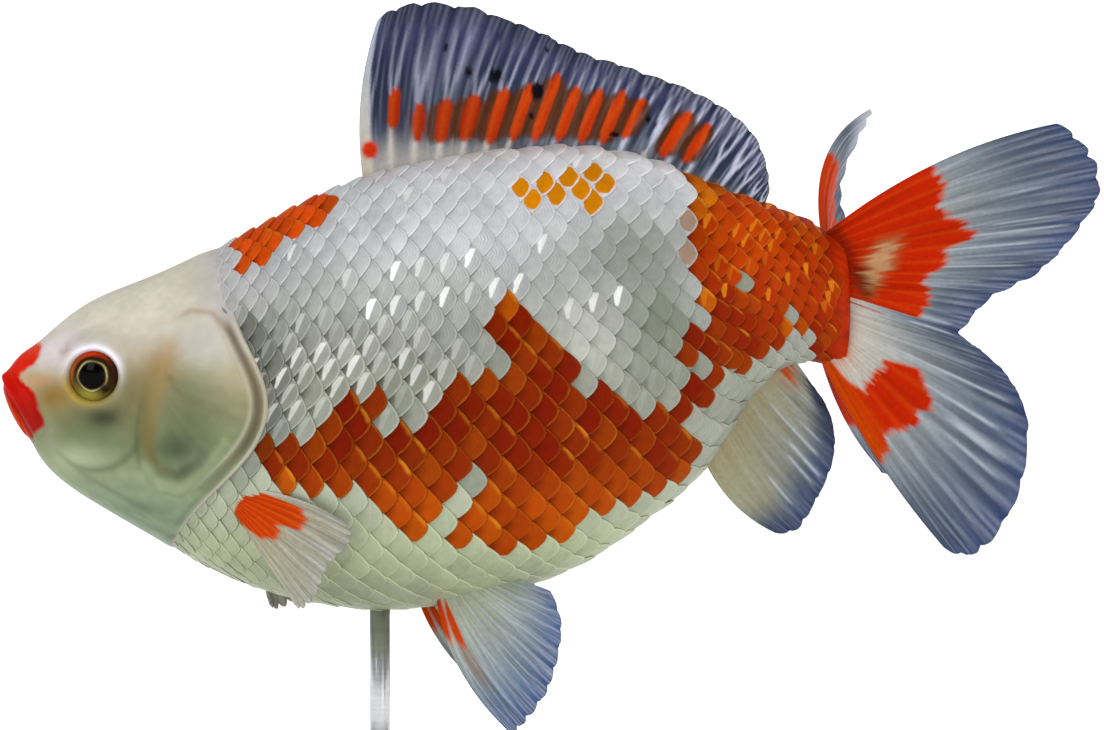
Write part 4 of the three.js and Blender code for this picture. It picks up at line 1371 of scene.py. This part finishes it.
def scale_piece(side, plate, finish, seed):
    """One side's scales as a plain mesh, with a map patch for each at its root's place."""
    roots = place_object(f"scales_{side}", scale_roots(side, np.random.default_rng(seed)))
    tree, relief = scale_tree(plate, finish.material)
    cover = roots.modifiers.new("cover", "NODES")
    cover.node_group = tree
    cover[relief] = 1.0
    graph = bpy.context.evaluated_depsgraph_get()
    mesh = bpy.data.meshes.new_from_object(roots.evaluated_get(graph))
    roots.modifiers.clear()
    bpy.data.objects.remove(roots)
    local, root = np.zeros(len(mesh.vertices) * 3), np.zeros(len(mesh.vertices) * 3)
    mesh.attributes["local"].data.foreach_get("vector", local)
    mesh.attributes["unwrap"].data.foreach_get("vector", root)
    places = root.reshape(-1, 3)[:, :2] + local.reshape(-1, 3)[:, :2] * PATCH_SIZE
    corners = np.zeros(len(mesh.loops), int)
    mesh.loops.foreach_get("vertex_index", corners)
    mesh.uv_layers.new(name="OFBake").data.foreach_set("uv", places[corners].ravel())
    for spent in ("local", "unwrap", "stretch", "up", "back", "curl", "bow", "twist", "lean"):
        mesh.attributes.remove(mesh.attributes[spent])
    mesh.shade_smooth()
    return place_object(f"scales_{side}", mesh)


# ---- Fins ----
STEPS_PER_RAY = 10
OUT_STEPS = 44
FAN_STEP = 0.004


class Fan:
    """A fin's middle surface: across runs 0 to 1 from the leading ray, out from root to tip."""

    def __init__(self, rays, bow, pleats=0.0, pleat_depth=0.0, cup=0.0):
        self.ray = Spline(np.linspace(0, 1, len(rays)), rays)
        self.bow, self.pleats, self.pleat_depth, self.cup = np.array(bow), pleats, pleat_depth, cup

    def __call__(self, across, out):
        keys = self.ray(across)
        arch = 4 * out * (1 - out)
        point = keys[..., :3] + (keys[..., 3:] - keys[..., :3]) * out[..., None]
        point = point + (arch * (1 - across) ** 3)[..., None] * self.bow
        folds = self.pleat_depth * out * np.sin(2 * math.pi * self.pleats * across)
        point[..., 1] += self.cup * arch + folds
        return point

    def normal(self, across, out):
        outwards = self(across, out + FAN_STEP) - self(across, out - FAN_STEP)
        sideways = self(across + FAN_STEP, out) - self(across - FAN_STEP, out)
        return unit(np.cross(outwards, sideways))


def swayed(rays):
    return [[rx, sway(rx), rz, tx, sway(tx), tz] for rx, _, rz, tx, _, tz in rays]


def paired(rays, sign, forward=0.0, swing=0.0):
    """Rays of a paired fin on one side, moved forward and swung about the leading ray's root."""
    pivot_x, pivot_z = rays[0][0], rays[0][2]
    turned = []
    for rx, ry, rz, tx, ty, tz in rays:
        x, z = tx - pivot_x, tz - pivot_z
        swung_x = pivot_x + x * math.cos(swing) + z * math.sin(swing)
        swung_z = pivot_z + z * math.cos(swing) - x * math.sin(swing)
        turned.append([rx - forward, sign * ry, rz, swung_x - forward, sign * ty, swung_z])
    return turned


def fin_piece(name, fan, rays, colouring, web=0.34, ridge=0.5, notch=0.016, spine=0.0, lap=0.0,
              forks=(0.4, 0.72)):
    """A fin blade: forked rays that stand proud of the skin between them, and a free edge with a
    lobe for each ray. lap carries the fin on past its last ray, over its neighbour's edge."""
    acrosses = np.linspace(0, 1 + lap, rays * STEPS_PER_RAY + 1)
    across, out = np.meshgrid(acrosses, np.linspace(0, 1, OUT_STEPS), indexing="ij")
    turn = across * rays
    lobe = 1 - notch * (1 - np.abs(np.sin(math.pi * turn)) ** 0.6)
    frayed = 1 - 0.012 * np.abs(flat_cloud(turn * 3, 0 * turn, 4))
    frayed = frayed - 0.02 * np.abs(flat_cloud(turn * 0.7, 0 * turn, rays))
    reach = out * lobe * frayed
    middle = fan(across, reach)
    normal = fan.normal(across, reach)
    fold = np.abs(turn - np.floor(np.clip(turn, 0, rays - 0.001)) - 0.5)
    for start, spread in zip(forks, (0.21, 0.10)):
        fold = np.abs(fold - spread * smooth(out, start, start + 0.28))
    ray = hump(fold, 0, 0.15 - 0.09 * smooth(out, forks[0], 1))
    half = 0.5 * (web + ridge * ray * (1 - 0.55 * out)) * (1 - 0.5 * out)
    half += spine * hump(turn, 0, 0.4) * (1 - 0.75 * out)
    ripple = 0.16 * out * np.sin(2 * math.pi * turn + 1.3)
    middle = middle + ripple[..., None] * normal
    front, back = middle + half[..., None] * normal, middle - half[..., None] * normal
    tints, solid = colouring(across, out, middle, ray)
    columns, rows = across.shape
    count = columns * rows
    number = np.arange(count).reshape(columns, rows)
    faces = [grid_faces(columns, rows), grid_faces(columns, rows)[:, ::-1] + count]
    place = np.stack([0.02 + 0.46 * across.ravel(), 0.03 + 0.94 * out.ravel()], -1)
    maps = [place[faces[0]], (place + [0.5, 0])[faces[1] - count]]
    borders = [
        (number[:, -1], (0, 0.02)), (number[::-1, 0], (0, -0.02)),
        (number[0, :], (-0.015, 0)), (number[-1, ::-1], (0.015, 0)),
    ]
    for line, outside in borders:
        strip = np.stack([line[:-1], line[1:], line[1:] + count, line[:-1] + count], -1)[:, ::-1]
        near, far = place[line[:-1]], place[line[1:]]
        faces.append(strip)
        maps.append(np.stack([near, far, far + outside, near + outside], 1)[:, ::-1])
    points = np.concatenate([front.reshape(-1, 3), back.reshape(-1, 3)])
    values = {"solid": solid, "ridge": ray, "reach": out * 24}
    values = {key: np.tile(np.ravel(numbers), 2) for key, numbers in values.items()}
    return make_mesh(name, points, faces, maps, np.tile(tints.reshape(-1, 3), (2, 1)), values)


FIN_PALE = tone(188, 196, 206)
FIN_ORANGE = tone(178, 32, 0)
DORSAL_COUNT = 20
# The dorsal fin's orange bars: middle, half width and half length.
DORSAL_BARS = [
    (1.9, 43.3, 0.95, 3.2), (5.8, 41.6, 0.85, 3.0), (9.4, 41.6, 1.1, 3.4), (13.4, 41.8, 1.15, 3.6),
    (17.2, 42.2, 1.0, 4.4), (20.9, 42.9, 0.85, 4.6), (24.7, 43.7, 0.85, 5.4), (27.7, 42.9, 0.85, 4.4),
    (31.0, 42.2, 0.85, 4.4), (34.3, 42.0, 0.85, 4.4), (37.5, 42.0, 0.75, 3.4), (43.7, 39.8, 0.9, 4.2),
    (47.1, 38.4, 0.72, 3.6),
]
BLACK_SPOTS = [
    (17.1, 48.3, 1.0, 1.1), (23.3, 46.1, 0.95, 1.4), (9.8, 52.6, 0.4, 0.45), (13.2, 49.0, 0.6, 0.7),
    (39.7, 41.8, 0.45, 0.45), (24.8, 52.1, 0.3, 0.3), (34.7, 39.6, 0.8, 0.35), (22.4, 42.4, 0.4, 0.5),
]
# Orange markings of the two tail lobes on the left, and the pale patch by the tail's root.
TAIL_MARKS = {
    "left_upper": [
        (62.0, 42.0), (80.6, 36.0), (84.4, 32.4), (82.8, 29.2), (84.6, 27.6), (88.4, 25.4),
        (87.0, 23.8), (83.8, 22.5), (84.0, 20.5), (81.2, 18.6), (82.0, 16.0), (81.2, 13.4),
        (79.4, 10.8), (72.4, 14.0), (64.0, 15.6),
    ],
    "left_lower": [
        (60.0, 9.6), (67.3, 5.9), (69.4, 3.2), (72.0, 1.8), (72.7, 3.8), (75.6, 6.2), (79.6, 5.2),
        (82.0, 0.9), (81.0, -1.4), (77.8, -4.4), (75.2, -4.0), (75.6, -7.6), (72.0, -10.5), (58.0, 0.0),
    ],
}
CREAM_PATCH = [
    (71.8, 16.6), (71.8, 19.8), (74.0, 24.0), (77.2, 24.6), (77.0, 21.6), (75.0, 18.4), (73.0, 15.8),
]
# The valley where the left lobes join the stem, darkened with painted shadow.
TAIL_VALLEY = [(67.4, 26.0), (69.0, 23.0), (70.6, 20.0), (72.2, 16.4)]
# How far out the pectoral fins are orange, across the fin.
PECTORAL_ORANGE = {
    "across": [0, 0.06, 0.12, 0.3, 0.42, 0.52, 0.66, 0.8, 1],
    "out": [0, 0.3, 0.62, 0.66, 0.5, 0.55, 0.42, 0.3, 0.2],
}


def rayed(stops, across, out, ray, seed, pale=0.24):
    """Web colours from root to tip, with paler rays, fine streaks and a few bright creases."""
    fine = streaks(across, out, seed, 150)
    broad = streaks(across, out, seed + 1, 24)
    web = blend_stops(out, stops) * (1 + 0.18 * fine + 0.30 * broad * out)[..., None]
    web = paint(web, pale * np.clip(ray**2 + 0.6 * fine, 0, 1), FIN_PALE)
    crease = smooth(streaks(across, out * 0.5, seed + 2, 46), 0.62, 0.80) * smooth(out, 0.15, 0.4)
    return paint(web, 0.6 * crease, FIN_PALE)


def streaks(across, out, seed, count=60):
    """Random streaks that run along the rays."""
    return flat_cloud(across * count, out * 3, seed)


def slid(middle, amount):
    """Side-view places, slid along the rays by amount in millimetres."""
    along = unit(np.gradient(middle, axis=1))
    moved = middle + amount[..., None] * along
    return moved[..., 0], moved[..., 2]


def nearest_point(middle, x, z):
    return np.unravel_index(np.argmin(np.hypot(middle[..., 0] - x, middle[..., 2] - z)), middle.shape[:2])


def dorsal_bars(across, out, middle, length, fine):
    """Where the orange bars of the dorsal fin lie, and the brown bands round them."""
    width = np.linalg.norm(np.gradient(middle, axis=0), axis=-1) / np.gradient(across, axis=0)
    bars, brown = np.zeros(out.shape), np.zeros(out.shape)
    for bar_x, bar_z, half_width, half_length in DORSAL_BARS:
        spot = nearest_point(middle, bar_x, bar_z)
        side_step = (across - across[spot]) * width[spot] / half_width
        long_step = ((out - out[spot]) * length[spot[0]] + 0.3 * fine) / half_length
        bar = 1 - smooth(np.abs(side_step) ** 2.2 + np.abs(long_step) ** 3, 0.75, 1.2)
        zone = 1 - smooth(np.abs(side_step / 2.4) ** 4 + np.abs(long_step / 0.9) ** 3, 0.6, 1.4)
        bars = np.maximum(bars, bar)
        brown = np.maximum(brown, zone * smooth(bar_x, 3, 11))
    return bars, brown


def dorsal_colours(across, out, middle, ray):
    fine = streaks(across, out, 11, 170)
    broad = streaks(across, out, 12, 36)
    fleck = (1 + 0.14 * fine)[..., None]
    web = blend_stops(out, [
        (0, (128, 126, 126)), (0.12, (90, 94, 102)), (0.3, (52, 60, 76)), (0.6, (42, 50, 74)),
        (0.85, (50, 54, 84)), (1, (36, 40, 60)),
    ])
    web = web * (1 + 0.25 * fine + 0.25 * broad)[..., None]
    lit = np.clip(ray**2 + 0.5 * fine, 0, 1) * (0.42 + 0.58 * hump(out, 0.46, 0.28))
    lit = lit * (1 + 0.6 * broad) * (0.62 + 0.95 * smooth(across, 0.3, 0.75))
    lit = lit * (1 - 0.5 * smooth(out, 0.78, 0.95) * smooth_down(across, 0.8, 0.5))
    length = np.linalg.norm(middle[:, -1] - middle[:, 0], axis=-1)
    bars, brown = dorsal_bars(across, out, middle, length, fine)
    height = out * length[:, None]
    foot_top = 9.0 - 7.6 * smooth(across, 0.02, 0.5)
    foot = smooth_down(height + 1.6 * fine + 1.2 * broad - 1.6 * ray, foot_top, 0.3 * foot_top)
    x, z = slid(middle, 0.35 * fine)
    hot = paint(tone(158, 34, 1) + 0 * web, smooth(x, 12, 22), tone(184, 50, 3))
    hot = paint(hot * (1 + 0.16 * fine)[..., None], 0.2 * ray, tone(222, 110, 40))
    spine = 0.62 - 0.34 * smooth(out, 0.35, 0.95)
    edge = smooth_down(across * DORSAL_COUNT, spine, 0.6 * spine)
    return coat(web, [
        (0.9 * np.clip(lit, 0, 1), (192, 196, 216)),
        ((0.60 + 0.22 * ray) * foot, tone(206, 199, 190) * fleck),
        (0.92 * brown, tone(80, 42, 11) * (1 + 0.40 * fine)[..., None]),
        (bars, hot),
        *((0.97 * ellipse(x, z, spot, 0.22), (5, 5, 9)) for spot in BLACK_SPOTS),
        (edge, blend_stops(out, [(0, (192, 182, 160)), (1, (150, 164, 182))])),
        (ellipse(middle[..., 0], middle[..., 2], (-1.5, 37.3, 1.2, 1.3), 0.3), (196, 44, 4)),
    ]), 0.97 + 0.03 * ray


def tail_colours(kind):
    """Colouring of one tail lobe: orange near the root, with a ragged border, then slate."""
    def colours(across, out, middle, ray):
        fine = streaks(across, out, 5, 60)
        tints = rayed([
            (0, (204, 190, 172)), (0.3, (164, 166, 160)), (0.5, (122, 130, 134)), (0.75, (84, 95, 110)),
            (0.9, (66, 78, 102)), (1, (52, 66, 104)),
        ], across, out, ray, 21 + len(kind))
        x, z = slid(middle, 0.9 * fine + 0.5 * (ray - 0.5))
        if kind in TAIL_MARKS:
            orange = outline_share(x, z, TAIL_MARKS[kind], 0.35)
        else:
            reach = np.interp(across, [0, 0.17, 0.33, 1], [0.56, 0.66, 0.80, 0.60])
            orange = smooth_down(out + 0.04 * fine, reach, reach - 0.05)
        hot = coat(FIN_ORANGE + 0 * tints, [
            (0.6 * np.clip(-streaks(across, out, 8, 30), 0, 1), (128, 14, 0)),
            (0.22 * ray, (214, 84, 14)),
            (0.6 * smooth_down(orange, 0.98, 0.6), (216, 104, 14)),
        ])
        tints = paint(tints, orange, hot)
        if kind == "left_upper":
            cream = outline_share(x + 0.5 * fine, z, CREAM_PATCH, 1.1)
            pale = paint(tone(150, 108, 60) + 0 * tints, smooth(cream, 0.6, 1), tone(176, 142, 102))
            tints = coat(tints, [
                (0.85 * cream, pale * (1 + 0.12 * fine)[..., None]),
                (0.5 * hump(oval(x, z, (72.4, 17.6, 1.2, 2.2)), 0, 1), (112, 92, 50)),
                # Painted shadow in the valley where the lobes join the stem.
                (0.8 * stroke(x, z, TAIL_VALLEY, 1.2), (96, 20, 3)),
            ])
        if kind == "left_lower":
            tints = coat(tints, [
                (0.6 * hump(oval(x, z, (68.8, 7.6, 1, 1.6)), 0, 1.5), (190, 104, 58)),
                (0.5 * orange * smooth_down(x + 0.6 * z, 74.0, 69.0), (192, 78, 6)),
            ])
        if kind == "right_upper":
            tints = coat(tints, [
                (0.6 * smooth(out, 0.75, 1) * smooth_down(across, 0.4, 0.1), (224, 230, 238)),
                (0.7 * orange, (214, 66, 6)),
            ])
        return tints, 0.97 + 0.03 * np.maximum(ray, orange)

    return colours


def anal_colours(across, out, middle, ray):
    tints = rayed([
        (0, (162, 150, 112)), (0.4, (139, 137, 117)), (0.66, (120, 123, 116)), (0.84, (76, 88, 106)),
        (1, (42, 56, 92)),
    ], across, out, ray, 31, 0.12)
    front = smooth_down(across, 0.4, 0.1) * smooth_down(out, 0.9, 0.6)
    rear = smooth(across + 0.06 * streaks(across, out, 35, 30), 0.5, 0.9) * smooth(out, 0.62, 0.82)
    dark = smooth(streaks(across, out, 33, 44), 0.3, 0.7) * smooth(across, 0.3, 0.7) * smooth(out, 0.35, 0.6)
    mark = ellipse(across, out, (0.84, 0.30, 0.12, 0.20), 0.5)
    return coat(tints, [
        (0.35 * front, (172, 164, 120)),
        (0.85 * rear, (40, 46, 62)),
        (0.6 * dark, (62, 54, 48)),
        (mark * np.clip(0.3 + streaks(across, out, 34, 40), 0, 1), (176, 70, 16)),
    ]), 0.97 + 0.03 * ray


def pelvic_colours(seed):
    """Colouring of a pelvic fin: slate, with two orange strips by its leading ray."""
    def colours(across, out, middle, ray):
        tints = rayed([
            (0, (176, 178, 152)), (0.4, (148, 156, 148)), (0.7, (116, 130, 142)), (0.88, (88, 106, 138)),
            (1, (60, 80, 128)),
        ], across, out, ray, seed, 0.42)
        ragged = out + 0.03 * streaks(across, out, seed, 60)
        strip = ellipse(across, ragged, (0.02, 0.18, 0.06, 0.17), 0.3)
        second = ellipse(across, ragged, (0.13, 0.25, 0.045, 0.17), 0.3)
        return coat(tints, [
            (0.5 * ellipse(across, out, (0.13, 0.48, 0.05, 0.2), 0.5), (126, 84, 34)),
            (np.maximum(strip, second), (190, 62, 6)),
        ]), 0.97 + 0.03 * ray

    return colours


def pectoral_colours(across, out, middle, ray):
    pale = [(0, (188, 178, 152)), (0.5, (156, 150, 124)), (1, (158, 156, 140))]
    tints = rayed(pale, across, out, ray, 47, 0.25)
    reach = np.interp(across, PECTORAL_ORANGE["across"], PECTORAL_ORANGE["out"])
    orange = smooth_down(out + 0.06 * streaks(across, out, 48, 26), reach + 0.03, reach - 0.03)
    return coat(tints, [
        (orange, paint(tone(188, 56, 2) + 0 * tints, 0.3 * ray, tone(222, 110, 40))),
        (0.7 * smooth_down(across, 0.05, 0.02), (206, 202, 194)),
    ]), 0.94 + 0.06 * np.maximum(ray, orange)


def dress_fins(finish):
    """Every fin, each in place of its solid."""
    plans = {"dorsal_fin": (
        Fan(swayed(DORSAL_RAYS), (-1.7, 0, 0.3)), DORSAL_COUNT, dorsal_colours, {"spine": 0.35})}
    plans["anal_fin"] = (Fan(swayed(ANAL_RAYS), (-1.2, 0, -1.4)), 8, anal_colours, {})
    pelvic_pose = {"left": {}, "right": {"forward": 3.6, "swing": -0.12}}
    pectoral_pose = {"left": {}, "right": {"swing": 0.38}}
    pectoral_rays = [[rx, ry + 1.3, *rest] for rx, ry, *rest in PECTORAL_RAYS]
    thin = {"web": 0.26, "ridge": 0.35, "notch": 0.04}
    for side, sign in SIDES.items():
        pelvic = Fan(paired(PELVIC_RAYS, sign, **pelvic_pose[side]), (-2.2, 0, -0.8))
        pectoral = Fan(paired(pectoral_rays, sign, **pectoral_pose[side]), (0.6, 0, 1.2), cup=1.3 * sign)
        plans[f"pelvic_fin_{side}"] = (pelvic, 9, pelvic_colours(37 + sign), {})
        plans[f"pectoral_fin_{side}"] = (pectoral, 12, pectoral_colours, thin)
    folds = {"pleats": 1.5, "pleat_depth": 1.2, "cup": -1.5}
    bows = {
        "left_upper": ((-0.8, 0, 2.3), folds), "left_lower": ((-0.8, 0, -1.2), folds),
        "right_upper": ((-3.4, 2, 2.4), {}), "right_lower": ((-1, 0, -1.5), {}),
    }
    for kind, (bow, extra) in bows.items():
        lobe = Fan(TAIL_RAYS[kind], bow, **extra)
        count = 11 if kind.endswith("upper") else 9
        plans[f"tail_fin_{kind}"] = (lobe, count, tail_colours(kind), {"spine": 0.2, "lap": 0.05})
    for node, (fan, count, colouring, shape) in plans.items():
        dress(fin_piece(f"{node}_rays", fan, count, colouring, **shape), finish, "fin", node)


# ---- Eyes ----
# Rings of the ball, those of them before its widest part, and the steps round each.
EYE_RINGS = 48
FRONT_RINGS = 36
EYE_STEPS = 96
# How far each eye turns forwards, in radians, and how far its clear front bulges.
EYE_TURN = 0.07
EYE_BULGE = 0.035
EYE_BACK = tone(46, 26, 14)
PUPIL = tone(2, 2, 2)


def eye_tone(tilt, turn):
    """Colours of the eyeball, from the pupil out through the pale ring to the brown iris."""
    out = EYE["radius"] * np.sin(np.minimum(tilt, math.pi / 2))
    ring = hump(out + 0.05 * np.sin(5 * turn + 1) * smooth(out, 1.9, 2.0), 2.12, 0.12)
    notch = hump(turn, 5.45, 0.24) * smooth(out, 1.9, 2.2) * smooth_down(out, 3.2, 2.9)
    return coat(EYE_BACK + np.zeros((*tilt.shape, 3)), [
        (0.9 * smooth(out, 2.7, 3.1) * hump(turn, 1.7, 0.75), (196, 54, 8)),
        (0.7 * smooth(out, 2.7, 3.2) * hump(turn, 2.9, 0.6), (176, 92, 22)),
        (0.9 * (hump(turn, 4.5, 0.75) * smooth(out, 2.15, 2.6)), (142, 132, 50)),
        ((0.66 + 0.30 * np.sin(3 * turn + 0.6)) * ring, (186, 178, 104)),
        (0.9 * notch, (14, 12, 8)),
        (smooth_down(out, 1.95, 1.8), PUPIL),
    ])


def eye_piece(side):
    """An eyeball with a clear bulge over the pupil, in rings from the pupil out."""
    sign = SIDES[side]
    tilt = np.concatenate([
        np.linspace(0.03, 1.2, FRONT_RINGS), np.linspace(1.25, 3.11, EYE_RINGS - FRONT_RINGS)])
    tilt, turn = np.meshgrid(tilt, full_turn(EYE_STEPS), indexing="ij")
    axis = np.array([-math.sin(EYE_TURN), sign * math.cos(EYE_TURN), 0])
    rise = np.array([0, 0, 1.0])
    run = np.cross(axis, rise) * sign
    radius = EYE["radius"] * (1 + EYE_BULGE * hump(tilt, 0, 0.5))
    flat = np.sin(tilt) * radius
    centre = np.array([EYE["x"], sign * EYE["y"], EYE["z"]])
    points = centre + (np.cos(tilt) * radius)[..., None] * axis
    points = points + (flat * np.cos(turn))[..., None] * run + (flat * np.sin(turn))[..., None] * rise
    poles = centre + np.array([[(1 + EYE_BULGE) * EYE["radius"]], [-EYE["radius"]]]) * axis
    corners = np.concatenate([points.reshape(-1, 3), poles])
    colours = np.concatenate([eye_tone(tilt, turn).reshape(-1, 3), [PUPIL, EYE_BACK]])
    faces = capped_faces(*tilt.shape)
    shares = 0.48 * tilt / math.pi
    disc = np.stack([0.5 + shares * np.cos(turn), 0.5 + shares * np.sin(turn)], -1).reshape(-1, 2)
    disc = np.concatenate([disc, [[0.5, 0.5], [0.5, 0.5]]])
    return make_mesh(f"eyeball_{side}", corners, faces, [disc[group] for group in faces], colours)


# ---- Stand ----

def lathe(name, profile, steps=96, squash=1.0):
    """A closed turned form from radius and height pairs that start and end on the axis."""
    turn = full_turn(steps)
    inner = np.array(profile[1:-1], float)
    flat = inner[:, None, :1] * np.stack([np.cos(turn), squash * np.sin(turn)], -1)
    points = np.concatenate([flat, np.broadcast_to(inner[:, None, 1:], (*flat.shape[:2], 1))], -1)
    ends = [[0, 0, profile[0][1]], [0, 0, profile[-1][1]]]
    corners = np.concatenate([points.reshape(-1, 3), ends]) - [0, 0, AXIS_HEIGHT]
    return make_mesh(name, corners, capped_faces(len(inner), steps))


def rounded(edge, height, radius, turns):
    """Profile points of a quarter round from a wall at edge up to a flat top at height."""
    return [
        (edge - radius + radius * math.cos(turn), height - radius + radius * math.sin(turn))
        for turn in np.linspace(0, math.pi / 2, turns)]


# Steps in from the base's wall, with heights over the floor, and depths in its top.
BASE_FOOT = [(1.2, 0), (0.3, 0.25), (0, 0.9)]
BASE_GROOVE = [(5.0, 0), (5.4, 0.35), (6.2, 0.35), (6.6, 0)]
BASE_ROUND = 1.8
# Steps in from the collar's wall, with heights over its foot.
COLLAR_STEPS = [(0.2, 0), (0, 0.2), (0, 1.1), (0.25, 1.35), (0.9, 1.45)]


def wall_and_ends(node):
    """A stand part's half length and half width, its foot and its top, in millimetres."""
    low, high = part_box(node)
    return high.x / MM, high.y / MM, low.z / MM, high.z / MM


def dress_stand(wood, steel):
    """Base, collar and rod, finer than their solids."""
    long, wide, _, top = wall_and_ends("stand_base")
    profile = [(0, 0)] + [(long - inset, height) for inset, height in BASE_FOOT]
    profile += rounded(long, top, BASE_ROUND, 8)
    profile += [(long - inset, top - depth) for inset, depth in BASE_GROOVE]
    base = lathe("base_plate", profile + [(long * 0.5, top), (0, top)], 160, wide / long)
    dress(base, wood, "ebony", "stand_base")
    radius, _, foot, top = wall_and_ends("stand_collar")
    profile = [(0, foot)] + [(radius - inset, foot + height) for inset, height in COLLAR_STEPS]
    profile += [(0.55 * radius, top - 0.2), (0.5 * radius, top), (0, top)]
    dress(lathe("collar", profile), steel, "steel", "stand_collar")
    radius, _, foot, top = wall_and_ends("stand_rod")
    rod = lathe("rod", [(0, foot), (radius, foot), (radius, top), (0, top)], 48)
    dress(rod, steel, "steel", "stand_rod")


# ---- Stage, light and camera ----

PAPER_GLOW = 0.66
# The floor's radius, the radius of the bend at its rim and the height of the rim, in metres.
FLOOR_RADIUS = 2.6
RIM_BEND = 0.5
RIM_HEIGHT = 0.9
# Radii of the rings on the flat of the floor, and the steps round it.
FLAT_RINGS = [0.4, 1.2, 2.0]
FLOOR_STEPS = 96
WORLD_STRENGTH = 0.31


def stage():
    """A pale round floor whose rim sweeps up, so that every view has the same plain ground."""
    finish = Finish("paper", {"Roughness": 0.9, "Specular IOR Level": 0.1, "Emission Color": (1, 1, 1, 1),
                              "Emission Strength": PAPER_GLOW})
    finish.shade({"Base Color": finish.mix(finish.noise(6, 2), (0.90, 0.90, 0.90), (0.94, 0.94, 0.94))})
    bend = np.linspace(0, math.pi / 2, 14)
    radii = np.concatenate([
        FLAT_RINGS, FLOOR_RADIUS + RIM_BEND * np.sin(bend), [FLOOR_RADIUS + RIM_BEND]])
    heights = np.concatenate([np.zeros(len(FLAT_RINGS)), RIM_BEND * (1 - np.cos(bend)), [RIM_HEIGHT]])
    turn = full_turn(FLOOR_STEPS)
    rings = [np.outer(radii, np.cos(turn)), np.outer(radii, np.sin(turn)), heights[:, None] + 0 * turn]
    points = np.concatenate([np.stack(rings, -1).reshape(-1, 3), np.zeros((1, 3))])
    faces = grid_faces(len(radii), FLOOR_STEPS, closed=True)[:, ::-1].tolist()
    faces += [(len(points) - 1, i, (i + 1) % FLOOR_STEPS) for i in range(FLOOR_STEPS)]
    mesh = bpy.data.meshes.new("paper_floor")
    mesh.from_pydata(points, [], faces)
    mesh.shade_smooth()
    mesh.materials.append(finish.material)
    floor = place_object("paper_floor", mesh)


def lights(target):
    """Soft light from the upper left, a weaker fill and a light from behind: for each its place,
    its size in metres and its power in watts."""
    plans = {
        "key": ((-0.30, -0.55, 0.62), 0.42, 2.5),
        "fill": ((0.60, -0.60, 0.20), 0.60, 0.8),
        "back": ((0.25, 0.24, 0.62), 0.40, 1.0),
    }
    for name, (place, size, power) in plans.items():
        lamp = bpy.data.lights.new(name, "AREA")
        lamp.size = size
        lamp.energy = power
        light = place_object(name, lamp)
        light.location = place
        light.rotation_euler = (target - Vector(place)).to_track_quat("-Z", "Y").to_euler()
    world = bpy.data.worlds.new("studio")
    world.use_nodes = True
    background = world.node_tree.nodes["Background"]
    background.inputs["Color"].default_value = (1, 1, 1, 1)
    background.inputs["Strength"].default_value = WORLD_STRENGTH
    bpy.context.scene.world = world
    bpy.context.scene.view_settings.view_transform = "Standard"


# The camera's distance, the width that it takes in there and the middle of its view, in metres.
VIEW_DISTANCE = 0.6
VIEW_WIDTH = 0.1634
VIEW_X = 0.02546
VIEW_Z = 0.073476
SENSOR_WIDTH = 36


def camera():
    """A level camera square to the fish's left side, near enough for some perspective."""
    lens = bpy.data.cameras.new("view")
    lens.sensor_width = SENSOR_WIDTH
    lens.lens = SENSOR_WIDTH * VIEW_DISTANCE / VIEW_WIDTH
    viewer = place_object("view", lens)
    viewer.location = (VIEW_X, -VIEW_DISTANCE, VIEW_Z)
    viewer.rotation_euler = (math.pi / 2, 0, 0)
    bpy.context.scene.camera = viewer


camera()
stage()
lights(Vector((0.02, 0, 0.07)))
dress(skin_piece(), skin_finish(), "skin", "head", "upper_lip", "lower_lip", "trunk", "tail_stem",
      "gill_cover_left", "gill_cover_right")
horn = scale_finish()
plate = place_object("plate", plate_mesh())
for side, seed in SCALE_SEEDS.items():
    dress(scale_piece(side, plate, horn, seed), horn, "scales")
bpy.data.objects.remove(plate)
dress_fins(fin_finish())
glass = eye_finish()
for side in SIDES:
    dress(eye_piece(side), glass, "eye", f"eye_{side}")
dress_stand(wood_finish(), steel_finish())
